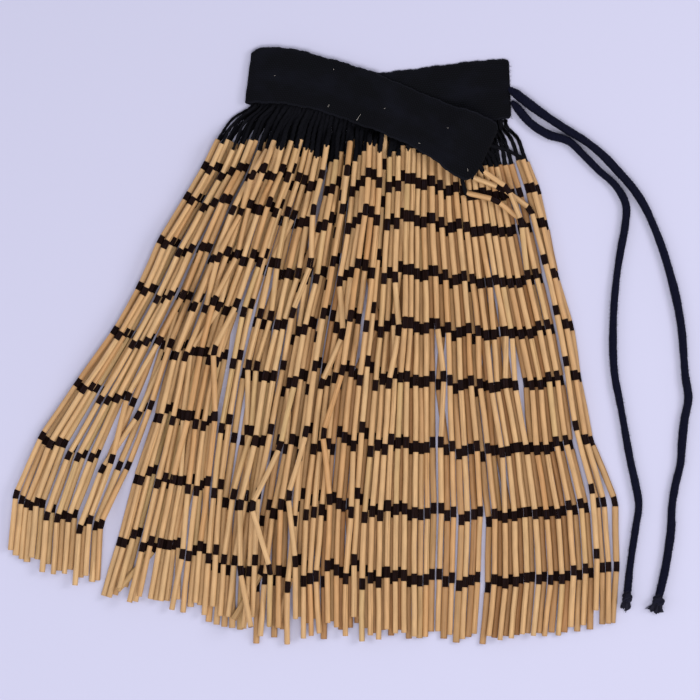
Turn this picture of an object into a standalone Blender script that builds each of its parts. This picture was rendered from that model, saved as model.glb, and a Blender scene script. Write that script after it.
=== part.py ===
"""A piupiu: a skirt of rolled flax strands on a woven waistband, laid out flat.

The waistband is one strip folded in two at the left. Its back half lies on the surface
with the back fringe hanging from it, and its front half and front fringe lie on them.
Two tie cords leave the free end of the back half.

Each strand is a black string, then nine rolled tubes parted by eight flat black links.
Tubes are stiff, so a strand turns only at its links, and where strands cross one lies
on the other. +X runs across the skirt, +Y towards the waistband and +Z up, with the
origin on the surface under the middle of band and fringes. The tables are in
millimetres, and the solids are made in metres.
"""

import math
import random
from collections import namedtuple

import bmesh
import bpy
import numpy as np

MM = 0.001

# ---------------------------------------------------------------- driving dimensions
BAND_THICK = 3.0  # woven band
BAND_EDGE = 1.0  # how far its rounded edges are set back
BACK_SECTIONS = 18  # sections along each half of the band, and round its fold
FRONT_SECTIONS = 22
FOLD_SECTIONS = 7

TUBE_WIDE = 4.2  # rolled tubes, as square prisms
TUBE_LONG = (23.5, 24.5, 38.5, 38.5, 38.5, 50.0, 50.0, 50.0, 46.5)
STRING_WIDE = 1.8  # black strings that carry them
STRING_HIGH = 2.0
STRAND_COUNT = 120  # even ones hang from the front half, odd ones from the back half
STRING_BENDS = ((0.1, 0.14), (0.6, 0.45))  # shares of its run and fall where a string bends

STRIP_WIDE = 3.0  # strip that the strings of a fringe are fused into
STRIP_THICK = 2.0
OUTER_SIDE = 1  # the side of the strip's section that strings grow from
SEAM = 0.3  # between pieces that touch
SIDE_GAP = 0.4  # least room beside a strand before the next lies on it
CELL = 0.3  # grid that keeps the heights of what has been laid
STEP = 0.3  # spacing of the points tested on it
HELD_REACH = 0.5  # share of a held joint past which a point is left as it is
REST_ROUNDS = 1500  # most times a piece is raised while it settles
REST_SLACK = 0.02
EASE_ROUNDS = 3  # how often the band's hollows are filled out
PILE_REACH = (330.0, 330.0)

TIE_WIDE = 7.5
TIE_POINT_STEP = 2.6 * TIE_WIDE
TIE_LIFT = 0.15  # least room under ties and knots

SEED = 48
# How far chance moves each joint sideways, from the first tube's top to the hem.
SWAY = (0.5, 0.8, 1.1, 1.3, 1.4, 1.4, 1.3, 1.1, 0.9, 0.8)
STRAY_SWAY = (1.0, 3.0, 6.5, 9.0, 10.0, 11.0, 10.0, 8.0, 4.0, 3.0)
STRAY_CHANCE = 0.14
SWAY_KEPT = 0.45  # share of it that the next link keeps
ELBOW_ROOM = 5.1  # links nearer than this push each other apart
FRINGE_ROOM = 5.4  # the same among the links of one fringe
ELBOW_ROUNDS = 12

# ---------------------------------------------------------------- the waistband
# Sections across each half: where they meet its top and its lower edge. Tuck is how far
# the front strings are tucked in under the lower edge.
Section = namedtuple("Section", "top_x top_y low_x low_y tuck")
BACK_HALF = (
    Section(173.5, 260.0, 175.5, 206.5, 0),
    Section(155.5, 260.0, 155.5, 204.5, 0),
    Section(128.5, 257.0, 128.5, 202.0, 0),
    Section(101.5, 253.5, 101.5, 199.5, 0),
    Section(74.5, 250.0, 73.0, 196.5, 0),
    Section(55.0, 248.5, 51.0, 196.0, 0),
    Section(25.0, 251.0, 21.0, 200.0, 0),
    Section(-4.5, 258.0, -10.0, 206.5, 0),
    Section(-33.0, 264.5, -38.5, 213.0, 0),
    Section(-56.5, 264.5, -61.5, 219.5, 0),
)
FRONT_HALF = (
    Section(-56.5, 264.5, -61.5, 219.5, 0.5),
    Section(-47.5, 270.5, -55.0, 219.8, 0.5),
    Section(-24.5, 270.0, -33.5, 219.0, 0.5),
    Section(-4.5, 265.0, -15.5, 216.5, 1),
    Section(20.5, 258.0, 7.0, 211.0, 2),
    Section(49.5, 249.0, 33.5, 201.0, 6),
    Section(74.5, 238.0, 58.5, 190.5, 13),
    Section(101.5, 226.5, 82.0, 180.5, 19),
    Section(124.0, 216.5, 101.5, 169.0, 27),
    Section(146.5, 209.5, 119.5, 155.5, 36),
    Section(160.5, 203.0, 133.5, 147.5, 40),
    Section(164.0, 196.5, 141.0, 148.5, 40),
)
BACK_STRIP_ENDS = (0.985, 0.02)  # shares of each half where its strip starts and ends
FRONT_STRIP_ENDS = (0.04, 0.93)

# ---------------------------------------------------------------- the fringes
# Guide strands, counted from the left. Roots are the shares of each strip where a string
# hangs, top is the upper end of the first tube, and links are the sideways places of
# the eight black links. Link is a link's length as it lies, and uneven is how much the
# tops near this guide differ in height. Loose is how freely chance moves its joints.
# The others lie between their two guides, and two side by side make a parting or step.
Guide = namedtuple("Guide", "strand front_root back_root top_x top_y links hem_x link uneven loose")
GUIDES = (
    Guide(0, 0.00, 0, -89, 185, (-101, -117, -141, -160, -182, -215, -247, -270), -275, 7.4, 4, 0.1),
    Guide(8, 0.05, 0.04, -69, 180, (-80, -96, -118, -137, -160, -189, -216, -233), -236, 7.6, 7, 0.8),
    Guide(16, 0.10, 0.08, -54, 181, (-63, -78, -96, -113, -133, -149, -170, -194), -198, 7.9, 8, 1.2),
    Guide(17, 0.105, 0.085, -52, 181, (-61, -76, -94, -110, -128, -140, -159, -175), -190, 7.9, 8, 1.2),
    Guide(32, 0.20, 0.16, -29, 181, (-38, -50, -64, -80, -92, -104, -110, -118), -121, 8.6, 8, 1.3),
    Guide(33, 0.21, 0.165, -27, 181, (-36, -48, -62, -77, -88, -98, -103, -107), -111, 8.6, 9, 1.3),
    Guide(47, 0.33, 0.29, 8, 179, (2, -6, -15, -25, -34, -44, -55, -60), -62, 8.9, 11, 1.3),
    Guide(48, 0.34, 0.295, 10, 170, (5, -3, -12, -22, -31, -41, -52, -56), -58, 8.9, 13, 1.3),
    Guide(64, 0.50, 0.45, 42, 179, (40, 37, 30, 22, 15, 9, 4, 3), 3, 9.5, 13, 1.2),
    Guide(73, 0.60, 0.55, 64, 186, (64, 63, 60, 55, 50, 45, 39, 37), 37, 9.5, 8, 0.8),
    Guide(74, 0.61, 0.555, 66, 177, (66, 65, 63, 59, 54, 49, 43, 41), 41, 9.5, 7, 0.8),
    Guide(85, 0.67, 0.65, 86, 177, (85, 84, 84, 83, 82, 81, 81, 81), 81, 9.5, 5, 0.5),
    Guide(96, 0.78, 0.79, 125, 167, (126, 129, 134, 138, 140, 145, 148, 145), 141, 8.8, 5, 0.5),
    Guide(97, 0.79, 0.8, 128, 167, (129, 132, 137, 142, 144, 149, 156, 155), 149, 8.8, 6, 0.5),
    Guide(106, 0.88, 0.9, 152, 164, (155, 159, 167, 174, 176, 188, 194, 198), 194, 8.4, 5, 0.6),
    Guide(107, 0.89, 0.91, 154, 164, (158, 163, 171, 181, 190, 193, 200, 204), 199, 8.4, 5, 0.6),
    Guide(118, 0.99, 0.99, 182, 167, (192, 202, 212, 222, 231, 240, 258, 262), 262, 8.4, 4, 0.4),
    Guide(119, 1.00, 1, 189, 167, (199, 206, 216, 229, 235, 246, 268, 269), 265, 8.4, 3, 0.1),
)
# Links or hem ends that lie well off their neighbours, on top of them.
Stray = namedtuple("Stray", "strand joint shift")
HEM = 9
STRAYS = (
    Stray(25, HEM, -24),
    Stray(40, 6, 12),
    Stray(34, 5, -12),
    Stray(52, 7, -12),
    Stray(60, 4, 12),
    Stray(44, HEM, 14),
    Stray(66, 6, -12),
    Stray(51, HEM, -28),
    Stray(57, HEM, -13),
    Stray(69, 4, 14),
)
# Front strands at the band's free corner, whose first tubes lie across the others.
Turned = namedtuple("Turned", "strand top_x top_y link1_x link2_x")
TURNED = (
    Turned(114, 134, 138, 161, 187),
    Turned(116, 140, 152, 166, 193),
    Turned(112, 149, 157, 172, 184),
)

# ---------------------------------------------------------------- the ties
# Route of each cord over the surface, from the band to its end knot.
OUTER_ROUTE = (
    (177.5, 230.5), (200, 213), (227, 195), (250, 180), (270, 160), (290, 136), (303, 110),
    (313, 83), (323, 46), (328.5, 13), (331, -23), (334, -50), (329, -73), (327, -103),
    (319.5, -136), (318, -163), (313, -197), (307, -223),
)
INNER_ROUTE = (
    (179.5, 217.5), (196, 199), (215, 189), (229.5, 184), (250, 163), (270, 144.5),
    (279, 126.5), (278, 110), (272, 77), (268, 43.5), (266.5, 10.5), (267.5, -23),
    (273.5, -56), (278, -83), (283.5, -113), (289, -140), (285, -169.5), (281, -196.5),
    (278.5, -220),
)
# An end knot and its tuft: the distance from the cord's end, and the radius there.
KNOT_PROFILE = (
    (0.3, 4.0), (2.2, 6.1), (5.0, 6.8), (8.0, 6.2), (10.5, 4.4),
    (12.5, 3.0), (15.0, 3.8), (20.0, 5.0),
)
KNOT_SIDES = 12

Finish = namedtuple("Finish", "name colour roughness")
WOVEN_BLACK = Finish("woven black band", (0.012, 0.012, 0.014, 1), 0.9)
ROLLED_FLAX = Finish("rolled flax", (0.60, 0.38, 0.17, 1), 0.55)
BLACK_CORD = Finish("twisted black cord", (0.010, 0.010, 0.013, 1), 0.85)


# ---------------------------------------------------------------- lines
def smooth_line(points, shares):
    """Places at shares of the way along a smooth line through the points."""
    points = np.array(points, float)
    slopes = np.gradient(points, axis=0)
    at = np.clip(np.array(shares), 0, 1) * (len(points) - 1)
    i = np.minimum(at.astype(int), len(points) - 2)
    u = (at - i)[:, None]
    return (
        (2 * u**3 - 3 * u**2 + 1) * points[i]
        + (u**3 - 2 * u**2 + u) * slopes[i]
        + (3 * u**2 - 2 * u**3) * points[i + 1]
        + (u**3 - u**2) * slopes[i + 1]
    )


def even_line(points, count):
    """A smooth line through the points, as count places evenly apart."""
    fine = smooth_line(points, np.linspace(0, 1, 40 * len(points)))
    along = np.concatenate([[0], np.cumsum(np.linalg.norm(np.diff(fine, axis=0), axis=1))])
    at = np.linspace(0, along[-1], count)
    return np.stack([np.interp(at, along, fine[:, k]) for k in range(fine.shape[1])], axis=1)


# ---------------------------------------------------------------- how things lie on each other
class Pile:
    """The heights of what has been laid so far, on a grid of cells over the surface."""

    def __init__(self):
        self.corner = np.array(PILE_REACH)
        self.tops = np.zeros(tuple((2 * self.corner / CELL).astype(int)))

    def cells(self, points):
        index = ((points + self.corner) / CELL).astype(int)
        return index[:, 0], index[:, 1]

    def under(self, points):
        return self.tops[self.cells(points)]

    def add(self, points, tops):
        np.maximum.at(self.tops, self.cells(points), tops)


def covered(left, right, margin):
    """Points that a ribbon between two edge lines covers, with how they share its joints.

    Each row of shares says how much of each joint's height a point has, and across says
    how far from the left edge it lies.
    """
    points, shares, across = [], [], []
    for i in range(len(left) - 1):
        wide = max(np.linalg.norm(right[i] - left[i]), np.linalg.norm(right[i + 1] - left[i + 1]))
        long = max(np.linalg.norm(left[i + 1] - left[i]), np.linalg.norm(right[i + 1] - right[i]))
        s, t = np.meshgrid(
            np.linspace(0, 1, math.ceil(long / STEP) + 1),
            np.linspace(-margin / wide, 1 + margin / wide, math.ceil((wide + 2 * margin) / STEP) + 1),
        )
        s, t = s.ravel()[:, None], t.ravel()[:, None]
        start = left[i] + (right[i] - left[i]) * t
        end = left[i + 1] + (right[i + 1] - left[i + 1]) * t
        share = np.zeros((len(s), len(left)))
        share[:, i] = 1 - s[:, 0]
        share[:, i + 1] = s[:, 0]
        points.append(start + (end - start) * s)
        shares.append(share)
        across.append(t[:, 0])
    return np.concatenate(points), np.concatenate(shares), np.concatenate(across)


def rest(shares, needed, heights, held=0):
    """Raise the joints, all but the first held ones, until no point is below what it needs."""
    free = shares[:, :held].sum(axis=1) < HELD_REACH
    shares, needed, heights = shares[free], needed[free], heights.copy()
    for _ in range(REST_ROUNDS):
        short = needed - shares @ heights
        worst = int(short.argmax())
        if short[worst] <= 0:
            break
        pull = shares[worst].copy()
        pull[:held] = 0
        heights += pull * (short[worst] + REST_SLACK) / (pull @ pull)
    return heights


def lay_ribbon(pile, left, right, thick, start_height=None):
    """Lay a ribbon on the pile, and give the heights of its underside at its joints."""
    points, shares, _ = covered(left, right, SIDE_GAP)
    heights = np.full(len(left), SEAM)
    held = 0
    if start_height is not None:
        heights[0] = start_height
        held = 1
    heights = rest(shares, pile.under(points) + SEAM, heights, held)
    points, shares, _ = covered(left, right, 0)
    pile.add(points, shares @ (heights + thick))
    return heights


# ---------------------------------------------------------------- plan of the strands
def between_guides(values, strand):
    return float(np.interp(strand, [g.strand for g in GUIDES], values))


def push_apart(places, room, rounds):
    """Spread places that are closer than room, a little in each round."""
    order = np.argsort(places)
    places = np.array(places)[order]
    low, high = places[0], places[-1]
    for _ in range(rounds):
        push = np.clip(room - np.diff(places), 0, None) / 4
        places[:-1] -= push
        places[1:] += push
    spread = np.empty(len(places))
    spread[order] = np.clip(places, low, high)
    return spread


def sideways_places(chance):
    """Sideways places of every strand's top, links and hem end, one row for each of them."""
    columns = [[g.top_x for g in GUIDES]]
    columns += [[g.links[i] for g in GUIDES] for i in range(8)]
    columns += [[g.hem_x for g in GUIDES]]
    sway = [0.0] * STRAND_COUNT
    rows = []
    for joint, column in enumerate(columns):
        places = []
        for strand in range(STRAND_COUNT):
            loose = between_guides([g.loose for g in GUIDES], strand)
            reach = SWAY[joint]
            if chance.random() < STRAY_CHANCE:
                reach = STRAY_SWAY[joint]
            sway[strand] = SWAY_KEPT * sway[strand] + chance.uniform(-reach, reach) * loose
            places.append(between_guides(column, strand) + sway[strand])
        places = push_apart(places, ELBOW_ROOM, ELBOW_ROUNDS)
        for side in (0, 1):
            places[side::2] = push_apart(places[side::2], FRINGE_ROOM, ELBOW_ROUNDS)
        rows.append(places)
    for stray in STRAYS:
        rows[stray.joint][stray.strand] += stray.shift
    return rows


def plan_strands():
    """Where each strand's top, eight links and hem end lie on the surface."""
    chance = random.Random(SEED)
    rows = sideways_places(chance)
    turned = {t.strand: t for t in TURNED}
    plans = []
    for strand in range(STRAND_COUNT):
        uneven = between_guides([g.uneven for g in GUIDES], strand)
        link = between_guides([g.link for g in GUIDES], strand)
        x = rows[0][strand]
        y = between_guides([g.top_y for g in GUIDES], strand) + chance.uniform(-uneven, uneven)
        across = [row[strand] for row in rows[1:]]
        steepest = 0.8
        if strand in turned:
            turn = turned[strand]
            x, y = turn.top_x, turn.top_y
            across[:2] = turn.link1_x, turn.link2_x
            steepest = 0.97
        plan = [(x, y)]
        for joint, (place, tube) in enumerate(zip(across, TUBE_LONG)):
            ends = joint in (0, len(TUBE_LONG) - 1)
            long = tube + (link / 2 if ends else link)
            run = max(-steepest * long, min(steepest * long, place - x))
            x, y = x + run, y - math.sqrt(long**2 - run**2)
            plan.append((x, y))
        plans.append(np.array(plan))
    return plans


def laying_order():
    """The back strands and then the front ones, every other one first and odd ones out last."""
    last = [s.strand for s in STRAYS] + [t.strand for t in TURNED]
    order = []
    for first in (1, 0):
        lot = [s for s in range(first, STRAND_COUNT, 2) if s not in last]
        order.append(lot[::2] + lot[1::2] + [s for s in last if s % 2 == first])
    return order


# ---------------------------------------------------------------- the band and the strips
def band_edges(half, count):
    """The top and lower edges of one half of the band, section by section."""
    shares = np.linspace(0, 1, count)
    top = smooth_line([(s.top_x, s.top_y) for s in half], shares)
    low = smooth_line([(s.low_x, s.low_y) for s in half], shares)
    return top, low


def strip_lines(half, ends, count, outside):
    """The two long edges of a fringe's strip, the one nearer the band's middle first."""
    shares = np.linspace(ends[0], ends[1], count)
    low = smooth_line([(s.low_x, s.low_y) for s in half], shares)
    top = smooth_line([(s.top_x, s.top_y) for s in half], shares)
    inward = (top - low) / np.linalg.norm(top - low, axis=1)[:, None]
    tuck = smooth_line([(s.tuck,) for s in half], shares)
    if outside:
        near = low - inward * (SEAM)
        return near, near - inward * STRIP_WIDE
    outer = low + inward * tuck
    return outer + inward * STRIP_WIDE, outer


def new_object(name, bm, finish):
    """Make an object of a closed mesh in millimetres, with its own material."""
    bmesh.ops.recalc_face_normals(bm, faces=bm.faces)
    bmesh.ops.scale(bm, vec=(MM, MM, MM), verts=bm.verts)
    mesh = bpy.data.meshes.new(name)
    bm.to_mesh(mesh)
    bm.free()
    item = bpy.data.objects.new(name, mesh)
    bpy.context.scene.collection.objects.link(item)
    finish_with(item, finish)
    return item


def finish_with(item, finish):
    material = bpy.data.materials.new(f"{item.name} {finish.name}")
    material.use_nodes = True
    shader = material.node_tree.nodes["Principled BSDF"]
    shader.inputs["Base Color"].default_value = finish.colour
    shader.inputs["Roughness"].default_value = finish.roughness
    shader.inputs["Metallic"].default_value = 0.0
    item.data.materials.append(material)


def loft(bm, rings, close_start=True, close_end=True):
    """Skin rings of vertices one after the other, and give the faces ring by ring."""
    faces = []
    for ring, following in zip(rings, rings[1:]):
        sides = []
        for i in range(len(ring)):
            j = (i + 1) % len(ring)
            sides.append(bm.faces.new((ring[i], ring[j], following[j], following[i])))
        faces.append(sides)
    if close_start:
        bm.faces.new(rings[0][::-1])
    if close_end:
        bm.faces.new(rings[-1])
    return faces


def new_ring(bm, points):
    return [bm.verts.new(p) for p in points]


def raised(place, height):
    return np.array([place[0], place[1], height])


def band_section(top, low, outward):
    """Six corners of the band where it runs between two edge points."""
    across = (top - low) / np.linalg.norm(top - low)
    half = outward * BAND_THICK / 2
    inset = across * BAND_EDGE
    return [top, top - inset + half, low + inset + half, low, low + inset - half, top - inset - half]


def lay_front_band(pile, top, low):
    """Lay the front half on everything else, and give its height at both edges."""
    points, shares, across = covered(top, low, SIDE_GAP)
    both = np.hstack([shares * (1 - across[:, None]), shares * across[:, None]])
    needed = pile.under(points) + SEAM
    count = len(top)
    heights = rest(both, needed, np.full(2 * count, BAND_THICK + SEAM))
    for _ in range(EASE_ROUNDS):
        for edge in (slice(0, count), slice(count, 2 * count)):
            run = heights[edge]
            mean = np.convolve(np.pad(run, 1, mode="edge"), (0.25, 0.5, 0.25), mode="valid")
            heights[edge] = np.maximum(run, mean)
    return heights[:count], heights[count:]


def make_waistband(pile):
    back_top, back_low = band_edges(BACK_HALF, BACK_SECTIONS)
    front_top, front_low = band_edges(FRONT_HALF, FRONT_SECTIONS)
    top_under, low_under = lay_front_band(pile, front_top, front_low)
    middle = BAND_THICK / 2
    down, up = np.array([0, 0, -1.0]), np.array([0, 0, 1.0])
    rings = []
    for top, low in zip(back_top, back_low):
        rings.append(band_section(raised(top, middle), raised(low, middle), down))
    top_radius, low_radius = top_under[0] / 2, low_under[0] / 2
    for turn in np.linspace(-math.pi / 2, math.pi / 2, FOLD_SECTIONS + 2)[1:-1]:
        outward = np.array([-math.cos(turn), 0, math.sin(turn)])
        top = raised(front_top[0], middle + top_radius) + outward * top_radius
        low = raised(front_low[0], middle + low_radius) + outward * low_radius
        rings.append(band_section(top, low, outward))
    for top, low, top_z, low_z in zip(front_top, front_low, top_under, low_under):
        rings.append(band_section(raised(top, top_z + middle), raised(low, low_z + middle), up))
    bm = bmesh.new()
    loft(bm, [new_ring(bm, ring) for ring in rings])
    return new_object("waistband", bm, WOVEN_BLACK)


# ---------------------------------------------------------------- the fringes
def strand_edges(plan, root, wides):
    """The two edges of a strand on the surface, from its root to its hem end."""
    start, top = np.array(root), plan[0]
    bends = start + (top - start) * np.array(STRING_BENDS)
    first = plan[1] - top
    tube_start = top + first / np.linalg.norm(first) * 1.0
    line = np.vstack([start, bends, top, tube_start, plan[1:]])
    along = np.diff(line, axis=0)
    along /= np.linalg.norm(along, axis=1)[:, None]
    ahead = np.vstack([along, along[-1]])
    behind = np.vstack([along[0], along])
    side = ahead + behind
    side /= np.linalg.norm(side, axis=1)[:, None]
    side = np.stack([-side[:, 1], side[:, 0]], axis=1)
    square = (side * np.stack([-ahead[:, 1], ahead[:, 0]], axis=1)).sum(axis=1)
    reach = (wides / 2 / np.maximum(square, 0.6))[:, None]
    return line + side * reach, line - side * reach


def make_fringe(name, strands, plans, pile, near, outer, stations):
    """One fringe: a strip with every strand grown out of its outer side."""
    strip_low = lay_ribbon(pile, near, outer, STRIP_THICK)
    bm = bmesh.new()
    rings = []
    for n, o, z in zip(near, outer, strip_low):
        rings.append(new_ring(bm, [(*n, z), (*o, z), (*o, z + STRIP_THICK), (*n, z + STRIP_THICK)]))
    sides = loft(bm, rings)
    wides = np.array([STRING_WIDE] * 4 + [TUBE_WIDE] * (len(TUBE_LONG) + 1))
    highs = np.array([STRIP_THICK] + [STRING_HIGH] * 3 + [TUBE_WIDE] * (len(TUBE_LONG) + 1))
    for strand in strands:
        a = stations[strand]
        root = (outer[a] + outer[a + 1]) / 2
        left, right = strand_edges(plans[strand], root, wides)
        under = lay_ribbon(pile, left, right, highs, strip_low[a])
        bm.faces.remove(sides[a][OUTER_SIDE])
        root_ring = [rings[a][1], rings[a + 1][1], rings[a + 1][2], rings[a][2]]
        grown = [root_ring]
        for l, r, z, high in list(zip(left, right, under, highs))[1:]:
            if np.dot(l - r, outer[a] - outer[a + 1]) < 0:
                l, r = r, l
            grown.append(new_ring(bm, [(*l, z), (*r, z), (*r, z + high), (*l, z + high)]))
        loft(bm, grown, close_start=False)
    return new_object(name, bm, ROLLED_FLAX)


def fringe_stations(half, ends, strands, plans, outside):
    """A strip's edge lines, with two stations for each strand, and the first of each pair."""
    strands = sorted(strands, key=lambda s: plans[s][0][0])
    column = [g.back_root if outside else g.front_root for g in GUIDES]
    roots = [between_guides(column, s) for s in sorted(strands)]
    fine = 600
    near, outer = strip_lines(half, ends, fine, outside)
    if outer[0][0] > outer[-1][0]:
        near, outer = near[::-1], outer[::-1]
    along = np.concatenate([[0], np.cumsum(np.linalg.norm(np.diff(outer, axis=0), axis=1))])
    margin = STRING_WIDE
    places, first = [0.0], {}
    for s, root in zip(strands, roots):
        middle = margin + root * (along[-1] - 2 * margin)
        middle = max(middle, places[-1] + STRING_WIDE / 2 + SIDE_GAP)
        first[s] = len(places)
        places += [middle - STRING_WIDE / 2, middle + STRING_WIDE / 2]
    places.append(max(along[-1], places[-1] + SIDE_GAP))

    def pick(line):
        return np.stack([np.interp(places, along, line[:, k]) for k in range(2)], axis=1)

    return pick(near), pick(outer), first


# ---------------------------------------------------------------- the ties
def tie_line(route):
    rough = even_line(route, 200)
    long = np.linalg.norm(np.diff(rough, axis=0), axis=1).sum()
    return even_line(route, round(long / TIE_POINT_STEP) + 1)


def make_tie(name, route):
    curve = bpy.data.curves.new(name, "CURVE")
    curve.dimensions = "3D"
    curve.bevel_depth = TIE_WIDE / 2 * MM
    curve.bevel_resolution = 3
    curve.use_fill_caps = True
    line = tie_line(route)
    spline = curve.splines.new("POLY")
    spline.points.add(len(line) - 1)
    for point, (x, y) in zip(spline.points, line):
        point.co = (x * MM, y * MM, (TIE_WIDE / 2 + TIE_LIFT) * MM, 1)
    item = bpy.data.objects.new(name, curve)
    bpy.context.scene.collection.objects.link(item)
    finish_with(item, BLACK_CORD)
    return item


def make_knot(name, route):
    """An end knot and its tuft, running on from the cord's last point."""
    line = tie_line(route)
    ahead = line[-1] - line[-2]
    ahead = np.array([*(ahead / np.linalg.norm(ahead)), 0])
    side = np.array([-ahead[1], ahead[0], 0])
    up = np.array([0, 0, 1.0])
    bm = bmesh.new()
    rings = []
    for far, radius in KNOT_PROFILE:
        centre = np.array([*line[-1], radius + TIE_LIFT]) + ahead * far
        ring = []
        for i in range(KNOT_SIDES):
            turn = 2 * math.pi * i / KNOT_SIDES
            ring.append(centre + radius * (side * math.cos(turn) + up * math.sin(turn)))
        rings.append(new_ring(bm, ring))
    loft(bm, rings)
    item = new_object(name, bm, BLACK_CORD)
    item.data.shade_smooth()
    return item


# ---------------------------------------------------------------- the skirt
def main():
    for item in list(bpy.data.objects):
        bpy.data.objects.remove(item)
    plans = plan_strands()
    back, front = laying_order()
    pile = Pile()
    near, outer, stations = fringe_stations(BACK_HALF, BACK_STRIP_ENDS, back, plans, True)
    make_fringe("fringe_back", back, plans, pile, near, outer, stations)
    top, low = band_edges(BACK_HALF, BACK_SECTIONS)
    points, _, _ = covered(top, low, 0)
    pile.add(points, BAND_THICK)
    near, outer, stations = fringe_stations(FRONT_HALF, FRONT_STRIP_ENDS, front, plans, False)
    make_fringe("fringe_front", front, plans, pile, near, outer, stations)
    make_waistband(pile)
    for name, route in (("outer", OUTER_ROUTE), ("inner", INNER_ROUTE)):
        make_tie(f"tie_{name}", route)
        make_knot(f"knot_{name}", route)


main()
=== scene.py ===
"""A piupiu laid out flat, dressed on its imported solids.

A piupiu is a skirt of rolled flax strands on a woven waistband. Each strand is a black
string, then nine rolled tubes of dried leaf parted by eight links of bare dyed fibre. The
band is folded in two at the left, with its back half and the back fringe on the floor and
its front half and the front fringe on them, and two tie cords leave its free end.

The tables are the part's own, in millimetres, and strands and band are laid again with the
part's own rules, so each tube, link and string lies where its solid does. Meshes are made
in metres, with +X across the skirt, +Y towards the waistband and +Z up.
"""

import functools
import math
import random
from collections import namedtuple

import bmesh
import bpy
import numpy as np
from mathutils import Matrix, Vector


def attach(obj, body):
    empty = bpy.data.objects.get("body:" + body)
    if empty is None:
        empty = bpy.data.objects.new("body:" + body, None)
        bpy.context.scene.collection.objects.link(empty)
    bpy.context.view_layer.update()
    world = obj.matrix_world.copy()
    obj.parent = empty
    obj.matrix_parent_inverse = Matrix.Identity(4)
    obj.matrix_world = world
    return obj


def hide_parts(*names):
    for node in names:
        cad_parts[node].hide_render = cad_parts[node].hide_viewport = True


bl_info = {
    "name": "Piupiu laid out flat",
    "version": (1, 0, 0),
    "blender": (4, 5, 0),
    "location": "3D View > Sidebar > Piupiu",
    "description": "Woven band, rolled flax strands, dyed links, strings and knotted ties",
    "category": "Object",
}

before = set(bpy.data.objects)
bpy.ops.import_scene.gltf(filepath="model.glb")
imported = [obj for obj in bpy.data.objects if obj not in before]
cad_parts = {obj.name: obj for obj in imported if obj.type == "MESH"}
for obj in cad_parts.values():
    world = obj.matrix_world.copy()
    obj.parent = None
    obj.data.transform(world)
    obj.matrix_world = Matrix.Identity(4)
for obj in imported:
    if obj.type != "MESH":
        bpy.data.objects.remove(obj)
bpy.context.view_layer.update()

MM = 0.001

# ---------------------------------------------------------------- sizes of the solids
BAND_THICK = 3.0
BACK_SECTIONS = 18
FRONT_SECTIONS = 22
FOLD_SECTIONS = 7

TUBE_WIDE = 4.2
TUBE_LONG = (23.5, 24.5, 38.5, 38.5, 38.5, 50.0, 50.0, 50.0, 46.5)
STRING_WIDE = 1.8
STRING_HIGH = 2.0
STRAND_COUNT = 120  # even ones hang from the front half, odd ones from the back half
STRING_BENDS = ((0.1, 0.14), (0.6, 0.45))
TUBE_LIP = 1.0  # from a string's end to where the first tube is at full width
MITRE_LIMIT = 0.6  # least cosine for which an edge is drawn out in full at a bend
STRIP_POINTS = 600  # points by which a strip's edges are measured

STRIP_WIDE = 3.0
STRIP_THICK = 2.0
SEAM = 0.3  # gap between things that lie on each other
SIDE_GAP = 0.4  # and between things side by side
CELL = 0.3  # width of a cell of the pile
STEP = 0.3  # spacing of the points at which a ribbon is laid on it
HELD_REACH = 0.5  # a point that hangs this much on held joints raises nothing
REST_ROUNDS = 1500
REST_SLACK = 0.02
EASE_ROUNDS = 3
PILE_REACH = (330.0, 330.0)

TIE_WIDE = 7.5
TIE_POINT_STEP = 2.6 * TIE_WIDE
TIE_LIFT = 0.15
ROUTE_POINTS = 200  # points by which a route's length is measured

SEED = 48
STEEPEST, TURNED_STEEPEST = 0.8, 0.97  # sideways share of a tube's length, at most
SWAY = (0.5, 0.8, 1.1, 1.3, 1.4, 1.4, 1.3, 1.1, 0.9, 0.8)
STRAY_SWAY = (1.0, 3.0, 6.5, 9.0, 10.0, 11.0, 10.0, 8.0, 4.0, 3.0)
STRAY_CHANCE = 0.14
SWAY_KEPT = 0.45
ELBOW_ROOM = 5.1
FRINGE_ROOM = 5.4
ELBOW_ROUNDS = 12

Section = namedtuple("Section", "top_x top_y low_x low_y tuck")
BACK_HALF = (
    Section(173.5, 260.0, 175.5, 206.5, 0),
    Section(155.5, 260.0, 155.5, 204.5, 0),
    Section(128.5, 257.0, 128.5, 202.0, 0),
    Section(101.5, 253.5, 101.5, 199.5, 0),
    Section(74.5, 250.0, 73.0, 196.5, 0),
    Section(55.0, 248.5, 51.0, 196.0, 0),
    Section(25.0, 251.0, 21.0, 200.0, 0),
    Section(-4.5, 258.0, -10.0, 206.5, 0),
    Section(-33.0, 264.5, -38.5, 213.0, 0),
    Section(-56.5, 264.5, -61.5, 219.5, 0),
)
FRONT_HALF = (
    Section(-56.5, 264.5, -61.5, 219.5, 0.5),
    Section(-47.5, 270.5, -55.0, 219.8, 0.5),
    Section(-24.5, 270.0, -33.5, 219.0, 0.5),
    Section(-4.5, 265.0, -15.5, 216.5, 1),
    Section(20.5, 258.0, 7.0, 211.0, 2),
    Section(49.5, 249.0, 33.5, 201.0, 6),
    Section(74.5, 238.0, 58.5, 190.5, 13),
    Section(101.5, 226.5, 82.0, 180.5, 19),
    Section(124.0, 216.5, 101.5, 169.0, 27),
    Section(146.5, 209.5, 119.5, 155.5, 36),
    Section(160.5, 203.0, 133.5, 147.5, 40),
    Section(164.0, 196.5, 141.0, 148.5, 40),
)
BACK_STRIP_ENDS = (0.985, 0.02)
FRONT_STRIP_ENDS = (0.04, 0.93)

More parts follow.
